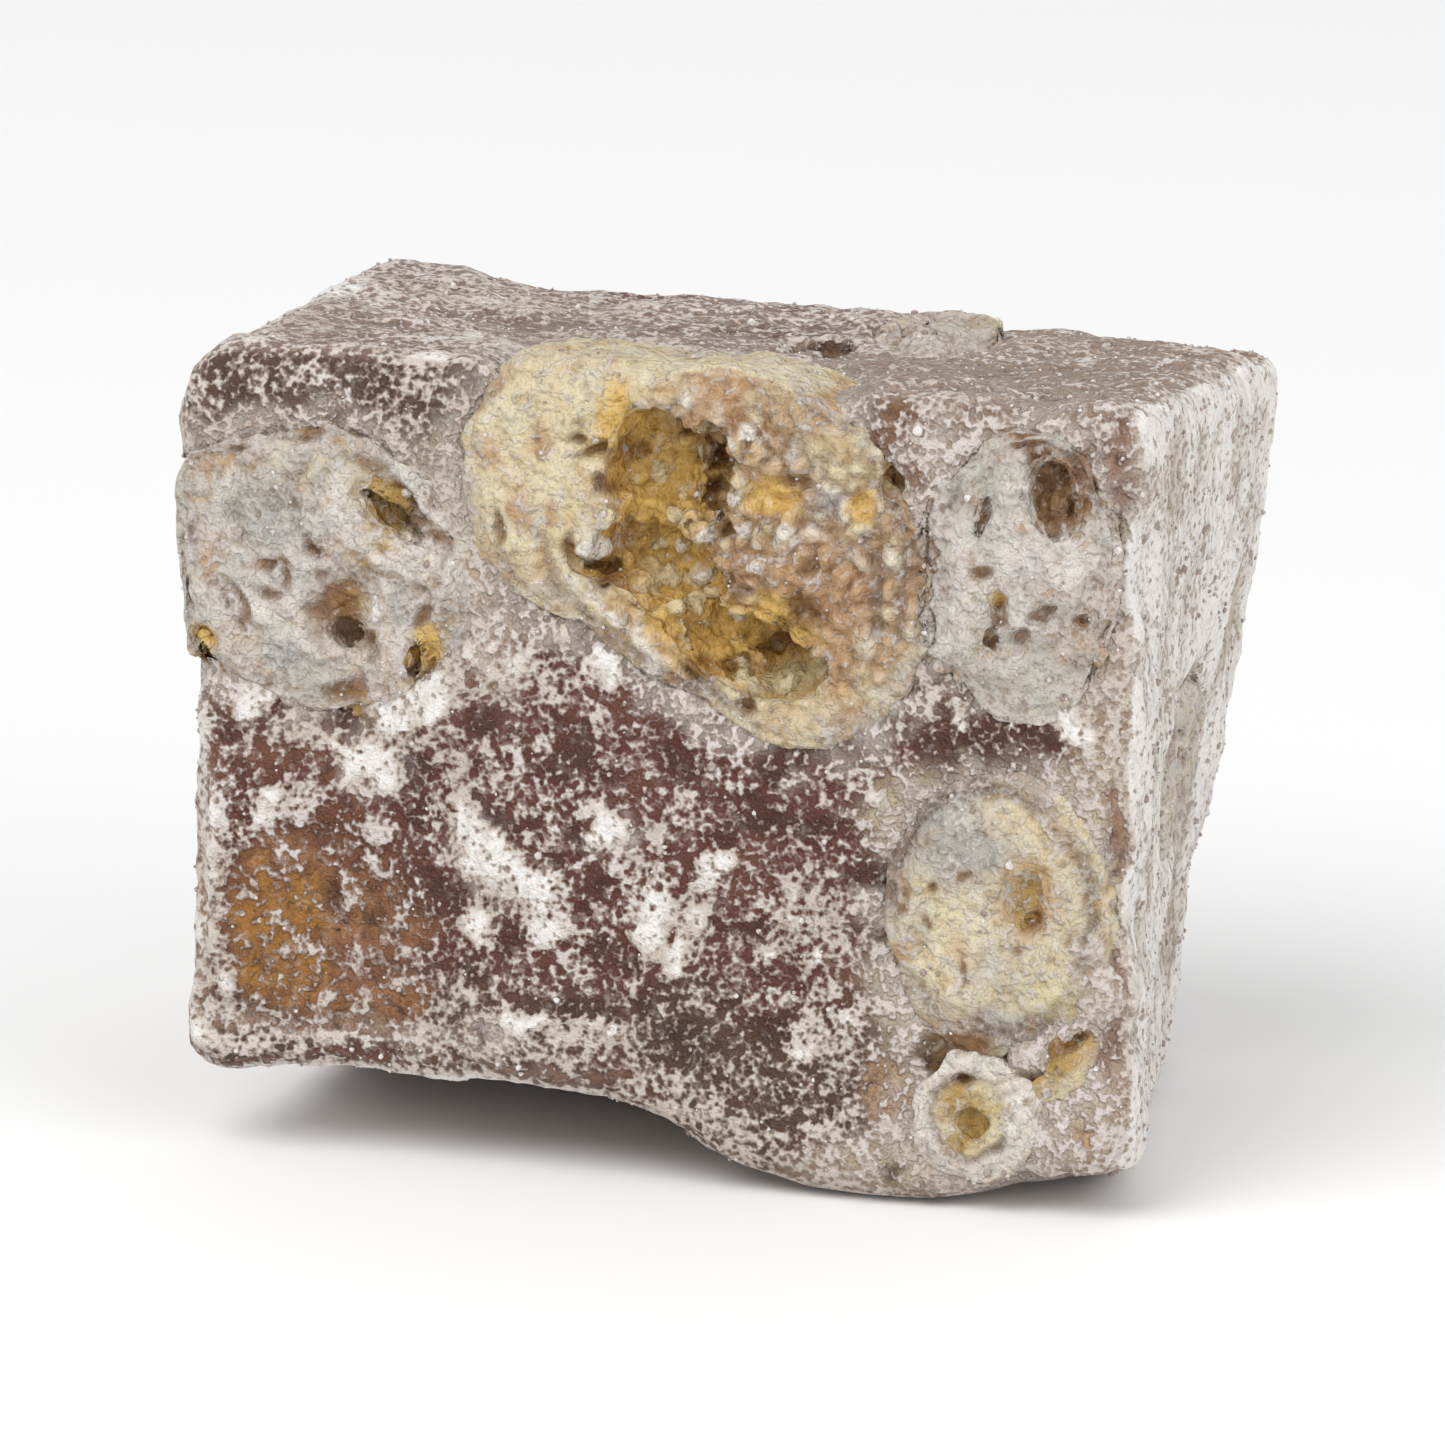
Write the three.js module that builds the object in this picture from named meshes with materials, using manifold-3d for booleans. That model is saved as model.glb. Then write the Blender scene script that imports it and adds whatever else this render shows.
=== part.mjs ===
// One cut piece of nut Turkish delight: an uneven brown block of starch jelly, with pieces of nut that the
// knife has cut through and left flush with its sides. X is to the right, Y to the back and Z up, in
// millimetres, and the origin is on the surface that the block stands on, under its middle.

import * as THREE from 'three';
import { mergeVertices } from 'three/addons/utils/BufferGeometryUtils.js';
import { ImprovedNoise } from 'three/addons/math/ImprovedNoise.js';
import Module from 'manifold-3d';

const wasm = await Module();
wasm.setup();
const { clamp, lerp, smoothstep } = THREE.MathUtils;

// The block's eight corners before its edges are rounded. The back is narrower and lower than the front.
const CORNERS = {
	left: {
		front: { bottom: [ -15.6, -9.2, 0 ], top: [ -15.5, -7.8, 25.2 ] },
		back: { bottom: [ -13.8, 9.3, 0 ], top: [ -14.9, 9.4, 23.7 ] },
	},
	right: {
		front: { bottom: [ 14.5, -9.3, 0 ], top: [ 14.1, -7.9, 25.2 ] },
		back: { bottom: [ 10.8, 9.1, 0 ], top: [ 14.6, 9.4, 23.1 ] },
	},
};
const HALF = new THREE.Vector3( 14.8, 9, 12 ); // half of the block's mean size
const EDGE_RADIUS = 1.2;
const SEGMENTS = [ 18, 11, 15 ];
const EDGE_CROWDING = 0.6; // how far the grid's lines gather towards the edges, from 0 to 1

// How far each side sinks in at its middle, as soft jelly does once it is cut.
const SAG = { front: 0.2, back: 0.9, left: 0.35, right: 0.4, top: 0.35 };

// The front of the underside. It is lifted along the left, comes down on a foot and rises again to the
// right corner.
const LIFT = { left: 2.9, right: 1.6, leftReach: 0.75, rightReach: 0.35 };
const FOOT = { from: -4, heel: 5, toe: 7, to: 14.5 };

// Soft swellings and dents: where, how far they reach, and how far they push the surface.
const SWELLINGS = [
	{ at: [ -15.4, -7, 20.2 ], reach: 3.6, push: [ -1.3, -0.2, 0 ] }, // the cheek beside the upper left nut
	{ at: [ -14.9, 9.4, 23.9 ], reach: 3, push: [ 0, 0, 0.4 ] }, // the peak at the back of the left side
	{ at: [ -10.4, -8.6, 7.2 ], reach: 3.4, push: [ 0, 0.8, 0 ] }, // the bare hollow low on the front
	{ at: [ -15.3, -8.8, 3.4 ], reach: 2.6, push: [ -0.4, -0.1, -0.4 ] }, // the lip of the lower left corner
	{ at: [ 12.5, 1, 5 ], reach: 5.5, push: [ -0.5, 0, 0 ] }, // a thumb's press on the right side
	{ at: [ -14.4, 1, 16 ], reach: 5, push: [ 0.8, 0, 0 ] }, // a press on the left side
	{ at: [ 4, 9.2, 15 ], reach: 5, push: [ 0, -0.9, 0 ] }, // a press on the back
	{ at: [ -9, 9.4, 5 ], reach: 4, push: [ 0, 0.6, 0 ] }, // a bulge low on the back
];
const UNEVENNESS = [
	{ wavelength: 7.5, height: 0.35 },
	{ wavelength: 3.2, height: 0.18 },
];

const GAP = 0.3; // between a piece of nut and its pocket
const PROUD = 0.2; // how far the nuts stand out of the jelly
const DETAIL = { middling: 3, small: 2, pit: 1 }; // how finely a round of each size is divided
const HOLLOW = { lumpy: 0.1, detail: DETAIL.pit }; // every pit and crack
const LUMPS = { coarse: 0.9, fine: 0.45, coarseHeight: 1.6 }; // on a round of radius 1

// The cracks in the jelly: middle, half sizes and tilt about Y.
const CRACKS = [
	{ at: [ 1.6, 1.2, 23.6 ], half: [ 1.3, 1.7, 0.9 ], tilt: 12 }, // on the top, behind the middle nut
	{ at: [ 9.6, -9.1, 4.7 ], half: [ 1.5, 1.2, 0.5 ], tilt: -6 }, // between the lower nut and the small one
];

const CREAM = 0xd9cba6;
const GOLD = 0xc9a457;
const PALE = 0xcfc8bb;
const JELLY_BROWN = 0x8a6a5c;
const ROUGHNESS = { nut: 0.7, jelly: 0.6 };

// The pieces of nut: middle, half sizes and tilt about Y, how lumpy each is, and the pits in its cut face.
// A pit is placed from the nut's middle.
const NUTS = {
	nut_middle: {
		at: [ 1.6, -6.2, 20.1 ], half: [ 6.2, 5.6, 5.3 ], tilt: 12,
		lumpy: 0.05, detail: DETAIL.middling, colour: GOLD,
		lobes: [
			{ at: [ -3.2, -6.1, 21.6 ], half: [ 3.9, 5.2, 4.5 ], tilt: -8 },
			{ at: [ 3.6, -6.6, 17.7 ], half: [ 4.1, 4.4, 3.9 ], tilt: 0 },
		],
		pits: [
			{ at: [ -2.6, -1.8, 2.1 ], half: [ 1.7, 2.2, 2.2 ], tilt: 0 },
			{ at: [ -0.9, -1.6, 1.9 ], half: [ 0.9, 2.4, 1.9 ], tilt: 0 },
			{ at: [ -2.4, -1.5, -0.9 ], half: [ 2.3, 2.0, 1.5 ], tilt: 20 },
			{ at: [ 0.4, -1.6, -3.4 ], half: [ 2.7, 2.2, 1.4 ], tilt: 18 },
			{ at: [ -4.7, -1.6, -1.1 ], half: [ 0.9, 1.2, 0.5 ], tilt: 25 },
			{ at: [ 5.0, -1.8, 2.5 ], half: [ 0.7, 1.1, 0.9 ], tilt: 0 },
		],
	},
	nut_upper_left: {
		at: [ -11.9, -6.4, 18.3 ], half: [ 5.2, 4.2, 4.6 ], tilt: 12,
		lumpy: 0.07, detail: DETAIL.middling, colour: PALE,
		pits: [
			{ at: [ 2.8, -1.4, 1.8 ], half: [ 1.5, 1.2, 0.6 ], tilt: 38 },
			{ at: [ 1.4, -1.4, -1.8 ], half: [ 0.7, 1.2, 0.7 ], tilt: 0 },
			{ at: [ 3.4, -1.2, -2.4 ], half: [ 0.5, 1.0, 0.9 ], tilt: 15 },
			{ at: [ -3.0, -1.2, -2.7 ], half: [ 0.5, 0.8, 0.7 ], tilt: -30 },
		],
	},
	nut_upper_right: {
		at: [ 10.6, -6.6, 19.7 ], half: [ 2.85, 3.8, 4.5 ], tilt: 4,
		lumpy: 0.07, detail: DETAIL.middling, colour: PALE,
		pits: [
			{ at: [ 0.9, -1.5, 2.4 ], half: [ 0.9, 1.2, 1.5 ], tilt: 0 },
			{ at: [ -1.3, -1.4, 1.7 ], half: [ 0.4, 0.8, 0.9 ], tilt: 10 },
			{ at: [ -0.9, -1.4, -1.9 ], half: [ 0.5, 1.0, 0.7 ], tilt: 0 },
		],
	},
	nut_lower_right: {
		at: [ 9.9, -7.4, 9.3 ], half: [ 3.55, 3.3, 4.25 ], tilt: 8,
		lumpy: 0.05, detail: DETAIL.middling, colour: CREAM,
		pits: [ { at: [ 0.9, -2.1, 0.5 ], half: [ 0.9, 1.2, 1.3 ], tilt: 12 } ],
	},
	nut_small_low: {
		at: [ 9.3, -7.9, 2.8 ], half: [ 2.0, 2.2, 1.75 ], tilt: 0,
		lumpy: 0.04, detail: DETAIL.small, colour: GOLD,
		pits: [ { at: [ 0, -1.2, 0 ], half: [ 0.8, 1.0, 0.65 ], tilt: 0 } ],
	},
	nut_sliver_low: {
		at: [ 12.3, -7.6, 4.8 ], half: [ 0.75, 1.8, 1.6 ], tilt: 30,
		lumpy: 0.04, detail: DETAIL.small, colour: GOLD,
		pits: [],
	},
	nut_top: {
		at: [ 4.3, 4.7, 21.9 ], half: [ 1.9, 3.6, 1.9 ], tilt: 10,
		lumpy: 0.06, detail: DETAIL.small, colour: CREAM,
		pits: [ { at: [ -0.4, 0.3, 1.2 ], half: [ 0.6, 1.0, 0.7 ], tilt: 0 } ],
	},
	nut_right_side: {
		at: [ 11.6, 2.4, 11.4 ], half: [ 2.4, 3.6, 3.1 ], tilt: 5,
		lumpy: 0.07, detail: DETAIL.small, colour: CREAM,
		pits: [
			{ at: [ 1.5, -0.9, 0.9 ], half: [ 1.1, 0.8, 0.8 ], tilt: 0 },
			{ at: [ 1.4, 1.3, -0.8 ], half: [ 1.0, 0.6, 0.9 ], tilt: 0 },
		],
	},
	nut_left_side: {
		at: [ -12.9, 3.2, 9.4 ], half: [ 3.4, 3.8, 3.5 ], tilt: -8,
		lumpy: 0.07, detail: DETAIL.small, colour: PALE,
		pits: [
			{ at: [ -1.6, 0.8, 1.0 ], half: [ 1.2, 0.9, 0.7 ], tilt: 0 },
			{ at: [ -1.6, -1.3, -0.8 ], half: [ 1.1, 0.6, 0.9 ], tilt: 0 },
		],
	},
	nut_back_left: {
		at: [ -6.2, 6.9, 14.6 ], half: [ 4.6, 3.6, 4.2 ], tilt: 15,
		lumpy: 0.08, detail: DETAIL.small, colour: GOLD,
		pits: [
			{ at: [ -0.8, 1.7, 0.9 ], half: [ 1.7, 1.6, 1.3 ], tilt: 0 },
			{ at: [ 1.4, 1.6, -1.1 ], half: [ 1.4, 1.5, 1.0 ], tilt: 0 },
		],
	},
	nut_back_right: {
		at: [ 6.3, 6.9, 7.6 ], half: [ 3.7, 3.4, 4.3 ], tilt: -10,
		lumpy: 0.07, detail: DETAIL.small, colour: PALE,
		pits: [
			{ at: [ 0.9, 1.7, 1.5 ], half: [ 0.8, 1.1, 0.6 ], tilt: 0 },
			{ at: [ -1.1, 1.8, -1.0 ], half: [ 0.6, 1.0, 1.0 ], tilt: 0 },
		],
	},
};

const noise = new ImprovedNoise();

// A value from about -1 to 1 that changes smoothly through space, at a wavelength in millimetres.
function waver( p, wavelength, seed ) {

	const shift = 17.3 * seed;
	return noise.noise( p.x / wavelength + shift, p.y / wavelength - shift, p.z / wavelength + 0.5 * shift );

}

// A geometry with one vertex at each place, so that it can be bent without tearing.
function welded( geometry ) {

	geometry.deleteAttribute( 'normal' );
	geometry.deleteAttribute( 'uv' );
	return mergeVertices( geometry, 1e-4 );

}

// Moves every vertex of a geometry to where a function puts it.
function reshape( geometry, place ) {

	const position = geometry.getAttribute( 'position' );
	const p = new THREE.Vector3();
	for ( let i = 0; i < position.count; i ++ ) {

		p.fromBufferAttribute( position, i );
		place( p );
		position.setXYZ( i, p.x, p.y, p.z );

	}

	return geometry;

}

// Pushes every vertex out along the surface's own normal.
function swell( geometry, distance ) {

	geometry.computeVertexNormals();
	const position = geometry.getAttribute( 'position' );
	const normal = geometry.getAttribute( 'normal' );
	for ( let i = 0; i < position.count; i ++ ) {

		position.setXYZ(
			i,
			position.getX( i ) + distance * normal.getX( i ),
			position.getY( i ) + distance * normal.getY( i ),
			position.getZ( i ) + distance * normal.getZ( i ),
		);

	}

	geometry.deleteAttribute( 'normal' );
	return geometry;

}

function solidOf( geometry ) {

	return new wasm.Manifold( new wasm.Mesh( {
		numProp: 3,
		vertProperties: geometry.getAttribute( 'position' ).array,
		triVerts: new Uint32Array( geometry.index.array ),
	} ) );

}

function meshOf( solid, name, colour, roughness ) {

	const { numProp, numVert, vertProperties, triVerts } = solid.getMesh();
	const position = new Float32Array( numVert * 3 );
	for ( let i = 0; i < numVert; i ++ ) {

		position.set( vertProperties.subarray( i * numProp, i * numProp + 3 ), i * 3 );

	}

	const geometry = new THREE.BufferGeometry();
	geometry.setAttribute( 'position', new THREE.BufferAttribute( position, 3 ) );
	geometry.setIndex( new THREE.BufferAttribute( triVerts, 1 ) );
	geometry.computeVertexNormals();
	const mesh = new THREE.Mesh( geometry, new THREE.MeshStandardMaterial( { color: colour, roughness } ) );
	mesh.name = name;
	return mesh;

}

// Rounds the edges of the cube from -1 to 1, so that they have EDGE_RADIUS at the block's mean size.
function roundEdges( p ) {

	const inner = new THREE.Vector3();
	for ( const axis of [ 'x', 'y', 'z' ] ) {

		p[ axis ] = HALF[ axis ] * lerp( p[ axis ], Math.sin( p[ axis ] * Math.PI / 2 ), EDGE_CROWDING );
		const flat = HALF[ axis ] - EDGE_RADIUS;
		inner[ axis ] = clamp( p[ axis ], - flat, flat );

	}

	p.sub( inner ).setLength( EDGE_RADIUS ).add( inner ).divide( HALF );

}

// The place of a point of the cube in the block whose corners are CORNERS.
function betweenCorners( cube ) {

	const sum = new THREE.Vector3();
	const share = ( side, coordinate ) => ( side ? 1 + coordinate : 1 - coordinate ) / 2;
	[ 'left', 'right' ].forEach( ( x, i ) => [ 'front', 'back' ].forEach( ( y, j ) =>
		[ 'bottom', 'top' ].forEach( ( z, k ) => {

			const weight = share( i, cube.x ) * share( j, cube.y ) * share( k, cube.z );
			sum.addScaledVector( new THREE.Vector3( ...CORNERS[ x ][ y ][ z ] ), weight );

		} ) ) );
	return sum;

}

// Lets each side sink in at its middle.
function sag( p, cube ) {

	const across = ( a, b ) => ( 1 - a * a ) * ( 1 - b * b );
	const near = ( coordinate ) => clamp( coordinate, 0, 1 ) ** 4;
	p.y += across( cube.x, cube.z ) * ( SAG.front * near( - cube.y ) - SAG.back * near( cube.y ) );
	p.x += across( cube.y, cube.z ) * ( SAG.left * near( - cube.x ) - SAG.right * near( cube.x ) );
	p.z -= across( cube.x, cube.y ) * SAG.top * near( cube.z );

}

// Lifts the front of the underside to each side of its foot. The lift dies away to the back and upwards.
function lift( p, cube ) {

	const back = ( cube.y + 1 ) / 2;
	const fade = ( reach ) => 1 - smoothstep( back, 0, reach );
	const left = LIFT.left * ( 1 - smoothstep( p.x, FOOT.from, FOOT.heel ) ) * fade( LIFT.leftReach );
	const right = LIFT.right * smoothstep( p.x, FOOT.toe, FOOT.to ) * fade( LIFT.rightReach );
	p.z += ( left + right ) * ( ( 1 - cube.z ) / 2 ) ** 3;

}

function pushSwellings( p ) {

	const start = p.clone();
	for ( const { at, reach, push } of SWELLINGS ) {

		const away = start.distanceTo( new THREE.Vector3( ...at ) ) / reach;
		p.addScaledVector( new THREE.Vector3( ...push ), Math.exp( - away * away ) );

	}

}

// The uneven skin of the jelly. The foot of the block stays flat, so that it rests where it is.
function makeUneven( p, cube ) {

	const free = smoothstep( cube.z, -1, -0.8 );
	UNEVENNESS.forEach( ( { wavelength, height }, i ) => {

		const out = cube.clone().normalize().multiplyScalar( height * free );
		p.addScaledVector( out, waver( p, wavelength, i + 1 ) );

	} );

}

function blockGeometry() {

	const geometry = welded( new THREE.BoxGeometry( 2, 2, 2, ...SEGMENTS ) );
	return reshape( geometry, ( p ) => {

		roundEdges( p );
		const cube = p.clone();
		p.copy( betweenCorners( cube ) );
		sag( p, cube );
		lift( p, cube );
		pushSwellings( p );
		makeUneven( p, cube );

	} );

}

// A round lump of the given middle and half sizes, turned about Y.
function lumpGeometry( { at, half, tilt, lumpy, detail }, seed ) {

	const geometry = welded( new THREE.IcosahedronGeometry( 1, detail ) );
	return reshape( geometry, ( p ) => {

		const coarse = LUMPS.coarseHeight * waver( p, LUMPS.coarse, seed );
		p.multiplyScalar( 1 + lumpy * ( coarse + waver( p, LUMPS.fine, seed + 0.5 ) ) );
		p.multiply( new THREE.Vector3( ...half ) );
		p.applyAxisAngle( new THREE.Vector3( 0, 1, 0 ), THREE.MathUtils.degToRad( tilt ) );
		p.add( new THREE.Vector3( ...at ) );

	} );

}

// A whole nut, which is one lump or several grown together, with a skin of the given thickness.
function wholeNut( nut, seed, skin ) {

	const lobes = ( nut.lobes ?? [] ).map( ( lobe ) => ( { ...nut, ...lobe, detail: DETAIL.small } ) );
	return [ nut, ...lobes ]
		.map( ( lump, i ) => solidOf( swell( lumpGeometry( lump, seed + 0.3 * i ), skin ) ) )
		.reduce( ( sum, lump ) => sum.add( lump ) );

}

// A piece of nut cut off where the block ends, clear of the nuts already in place, with its pits.
function nutSolid( nut, seed, outline, placed ) {

	let solid = wholeNut( nut, seed, 0 ).intersect( outline );
	for ( const pocket of placed ) {

		solid = solid.subtract( pocket );

	}

	nut.pits.forEach( ( pit, i ) => {

		const at = pit.at.map( ( offset, axis ) => offset + nut.at[ axis ] );
		solid = solid.subtract( solidOf( lumpGeometry( { ...pit, at, ...HOLLOW }, seed + 0.1 * i ) ) );

	} );
	return solid;

}

const model = new THREE.Group();
const block = solidOf( blockGeometry() );
const outline = solidOf( swell( blockGeometry(), PROUD ) );

const pockets = [];
Object.entries( NUTS ).forEach( ( [ name, nut ], i ) => {

	model.add( meshOf( nutSolid( nut, i + 1, outline, pockets ), name, nut.colour, ROUGHNESS.nut ) );
	pockets.push( wholeNut( nut, i + 1, GAP ) );

} );

const cracks = CRACKS.map( ( crack, i ) => solidOf( lumpGeometry( { ...crack, ...HOLLOW }, 20 + i ) ) );
const jelly = [ ...pockets, ...cracks ].reduce( ( solid, hollow ) => solid.subtract( hollow ), block );
model.add( meshOf( jelly, 'jelly', JELLY_BROWN, ROUGHNESS.jelly ) );

// The origin goes under the middle of the block.
const box = new THREE.Box3().setFromObject( model );
const middle = box.getCenter( new THREE.Vector3() );
model.position.set( - middle.x, - middle.y, - box.min.z );

export default model;
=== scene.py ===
"""One cut piece of nut Turkish delight on a pale floor.

Sizes are in millimetres unless a name or a comment says otherwise.
"""

from collections import namedtuple
import itertools
import math

import bmesh
import bpy
import numpy as np
from mathutils import Matrix, Vector
from mathutils.bvhtree import BVHTree


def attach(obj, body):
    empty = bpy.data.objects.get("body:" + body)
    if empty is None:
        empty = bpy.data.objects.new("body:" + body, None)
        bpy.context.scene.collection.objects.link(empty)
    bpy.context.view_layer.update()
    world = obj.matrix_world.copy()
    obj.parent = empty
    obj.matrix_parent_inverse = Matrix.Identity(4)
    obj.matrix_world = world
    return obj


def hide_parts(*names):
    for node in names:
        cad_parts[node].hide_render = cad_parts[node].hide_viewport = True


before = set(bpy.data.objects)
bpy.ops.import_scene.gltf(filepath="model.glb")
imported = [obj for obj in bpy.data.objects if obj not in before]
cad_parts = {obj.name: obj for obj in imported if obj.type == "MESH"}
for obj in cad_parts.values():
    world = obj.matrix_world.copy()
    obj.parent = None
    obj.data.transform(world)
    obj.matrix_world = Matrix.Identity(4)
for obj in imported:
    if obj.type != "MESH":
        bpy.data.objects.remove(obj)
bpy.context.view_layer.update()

MM = 0.001
FRONT, BACK, LEFT, RIGHT, TOP = (0, -1, 0), (0, 1, 0), (-1, 0, 0), (1, 0, 0), (0, 0, 1)

# How wide the faces of each piece are, and how many loose grains there are and how big
JELLY_FACE = 0.225
NUT_FACE = 0.11
GRAINS = 8000
GRAIN_RADIUS = 0.055

GAP = 0.3  # between a nut and the wall of its pocket, in the frame
REACH = 2  # how far off a nut and the jelly still matter to each other
RIDGE = 0.65  # from one fine ridge of the skin to the next
CRACK = (2.8, 1.1, 23.6)  # the middle of the crack in the top
CRACK_DEPTH = 3.5
LEFT_EDGE = -14.4  # nuts are flattened to the left of this
OLIVE_BELOW = 6  # height
LOWEST_GRAIN = 0.6

# Where a change over the piece starts and where it is complete
ABOVE_REST = (0.3, 1.2)  # height at which the flat rest gives way to rough skin
ROUND_CRACK = (1.5, 2.5)  # from the crack's middle out, where its filling ends
UNDER_TOP_EDGE = (22.2, 23.2)  # height at which the front darkens
TOP_TURNS_TAN = (2, 6)  # from the middle to the right
IN_FRONT = (4, 5)  # from the middle to the viewer, where the front's marks start
NEAR_SIDES = (14.2, 14.8)  # from the middle to the left or the right
NEAR_TOP = (24.1, 24.7)  # height
OVER_TOP_EDGE = (23.3, 24.1)  # height at which the front's marks end
BARE_CORNER = ((3, 7), (7, 9), (23, 23.8))  # forward, to the left and up, where the powder thins

# The view of the photograph
AZIMUTH, ELEVATION = math.radians(16), math.radians(15)
VIEW_WIDTH = 44.6  # how wide a strip of the world the picture takes in
VIEW_DISTANCE = 500
VIEW_MIDDLE = (0.08, 11.8)  # right of and above the origin, across the line of sight
SENSOR = 36

# The lights: the way to each from the piece, how far off and how wide it is, and its watts.
LIGHTS = {"key": ((-0.5, -1.0, 1.4), 600, 460, 2.0), "fill": ((1.2, -0.7, 0.6), 600, 500, 1.2)}
LIT_POINT = (0, 0, 12)
ROOM_LIGHT = 0.68  # strength of the even light from all round
FLOOR_WIDTH = 3000

RANDOM = np.random.default_rng(11)
SHUFFLED = RANDOM.permutation(256)
SLOPES = RANDOM.normal(size=(256, 3))
SLOPES /= np.linalg.norm(SLOPES, axis=1)[:, None]
JITTER = RANDOM.random((256, 3))
SEED_SHIFT = 31.7  # cells of the lattice between one seed's noise and the next


def linear(share):
    """A share of full brightness in a picture, as a share of full light."""
    return share / 12.92 if share < 0.04 else ((share + 0.055) / 1.055) ** 2.4


def colour(red, green, blue):
    """A colour read as 0 to 255 from a picture, as Blender's linear colour."""
    return np.array([linear(red / 255), linear(green / 255), linear(blue / 255), 1])


# Colours of the jelly, the powder and the nuts
MAROON = colour(90, 47, 36)
OLIVE_DARK = colour(76, 60, 48)
NEAR_BLACK = colour(52, 26, 18)
CRUST = colour(184, 170, 155)
RED_BROWN = colour(108, 66, 44)
AMBER = colour(152, 104, 40)
HONEY = colour(140, 96, 60)
SKIN = colour(140, 118, 108)
RUST = colour(138, 106, 86)
BLUE_POWDER = colour(206, 204, 204)
FILM = colour(160, 141, 132)
POWDER = colour(212, 203, 199)
BEIGE_POWDER = colour(196, 184, 171)
WHITE_POWDER = colour(231, 227, 223)
LINE_BROWN = colour(154, 130, 110)
CREAM = colour(212, 199, 166)
GREY_FLESH = colour(186, 181, 173)
BLUE_GREY = colour(154, 154, 152)
SEAM = colour(124, 104, 90)
GOLD = colour(214, 176, 96)
DEEP_GOLD = colour(180, 134, 58)
OLIVE_GOLD = colour(172, 140, 76)
TAN = colour(180, 144, 106)
BROWN = colour(118, 80, 42)
DARK_GOLD = colour(98, 74, 40)
YELLOW = colour(206, 192, 146)
WHITE = colour(226, 221, 212)
SHADOW_TINT = colour(186, 168, 150)

# Marks, placed as they show on the front. Each is x, z, half width and
# half height, and its tilt in degrees where it has one.
HEAVY_POWDER = (
    (-8.9, 12.4, 1.1, 0.8), (-11.2, 11.1, 0.9, 0.4, -20), (-8.7, 10.1, 0.5, 0.6, 20),
    (-5.5, 10.9, 0.6, 0.9), (-5.1, 9.8, 0.7, 0.8), (-3.8, 9.1, 1.2, 0.6), (-5.1, 7.7, 0.5, 0.8),
    (-1.0, 10.9, 0.8, 0.6), (-1.3, 11.5, 0.6, 0.4, -30), (0.6, 10.9, 0.4, 0.5), (2.3, 10.2, 0.6, 0.6),
    (2.0, 9.5, 0.4, 0.5), (1.8, 8.6, 0.4, 0.4), (0.3, 9.0, 0.8, 0.3, 50), (0.3, 8.0, 0.5, 0.9, -30),
    (1.0, 7.2, 0.4, 0.7), (-2.8, 7.7, 0.5, 0.6), (-3.6, 5.0, 0.9, 0.25, 10), (-1.2, 4.9, 0.8, 0.2, 10),
    (-7.2, 14.2, 1.6, 0.5, 35), (-12.4, 13.9, 0.5, 0.4), (7.8, 16.0, 0.5, 1.0, 30),
    (6.9, 14.7, 0.9, 0.35, 20), (-1.4, 15.9, 0.8, 0.5, -30), (13.5, 15.3, 0.6, 0.5),
    (7.6, 12.6, 0.5, 0.4), (4.4, 8.6, 0.5, 0.2, 20), (-13.0, 5.4, 0.3, 0.5), (-4.3, 9.6, 2.3, 0.6, -42),
    (-9.9, 12.6, 1.0, 0.4, -30), (-11.7, 10.6, 0.6, 0.4, 40), (4.9, 9.8, 0.4, 0.5),
    (10.0, 15.2, 0.2, 0.4, 25), (11.8, 15.1, 0.2, 0.4, -20), (5.6, 7.4, 0.5, 0.3, 30),
    (4.0, 7.2, 0.3, 0.4), (6.4, 6.0, 0.3, 0.4), (5.3, 4.6, 0.4, 0.3),
)
PALE_CRUST = (
    (15.0, 12.5, 1.5, 13.5, -2), (9.3, 21.0, 1.3, 4.5), (12.0, 20.8, 3.8, 4.6), (-10.5, 18.2, 6.0, 4.4),
    (-5.4, 18.0, 1.1, 3.4, 20), (11.6, 9.2, 4.1, 4.9), (10.6, 2.8, 3.2, 2.2), (7.0, 1.0, 2.4, 0.9),
    (1.5, 25.2, 8.0, 0.8, -3), (-15.2, 18.5, 0.8, 5.0), (-10.0, 4.2, 4.5, 0.35), (-14.4, 8.5, 0.8, 5.5),
)
LIGHT_POWDER = (
    (8.9, 20.6, 1.0, 3.8), (11.2, 17.8, 2.6, 0.8), (-4.6, 4.1, 2.0, 0.5), (6.5, 1.6, 1.8, 0.6, 5),
    (2.4, 2.3, 2.2, 0.5, -25), (7.3, 11.2, 0.6, 0.9), (-4.4, 16.2, 1.6, 0.8, -25),
    (-7.5, 12.8, 1.5, 0.9, 20), (-5.7, 5.3, 0.7, 0.6), (-11.5, 24.2, 1.8, 0.5), (8.6, 20.5, 0.6, 4.0),
    (-8.3, 14.0, 1.6, 0.7, 20), (10.2, 16.4, 1.4, 0.7), (0.6, 8.8, 2.8, 0.9, -50),
    (-4.2, 9.4, 2.8, 1.2, -42), (5.2, 8.6, 1.8, 1.2), (5.8, 5.6, 1.2, 1.4, 20),
    (-9.4, 12.6, 2.0, 0.9, -20), (-2.6, 4.7, 2.8, 0.6), (1.8, 14.6, 1.2, 0.5, -20),
)
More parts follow.
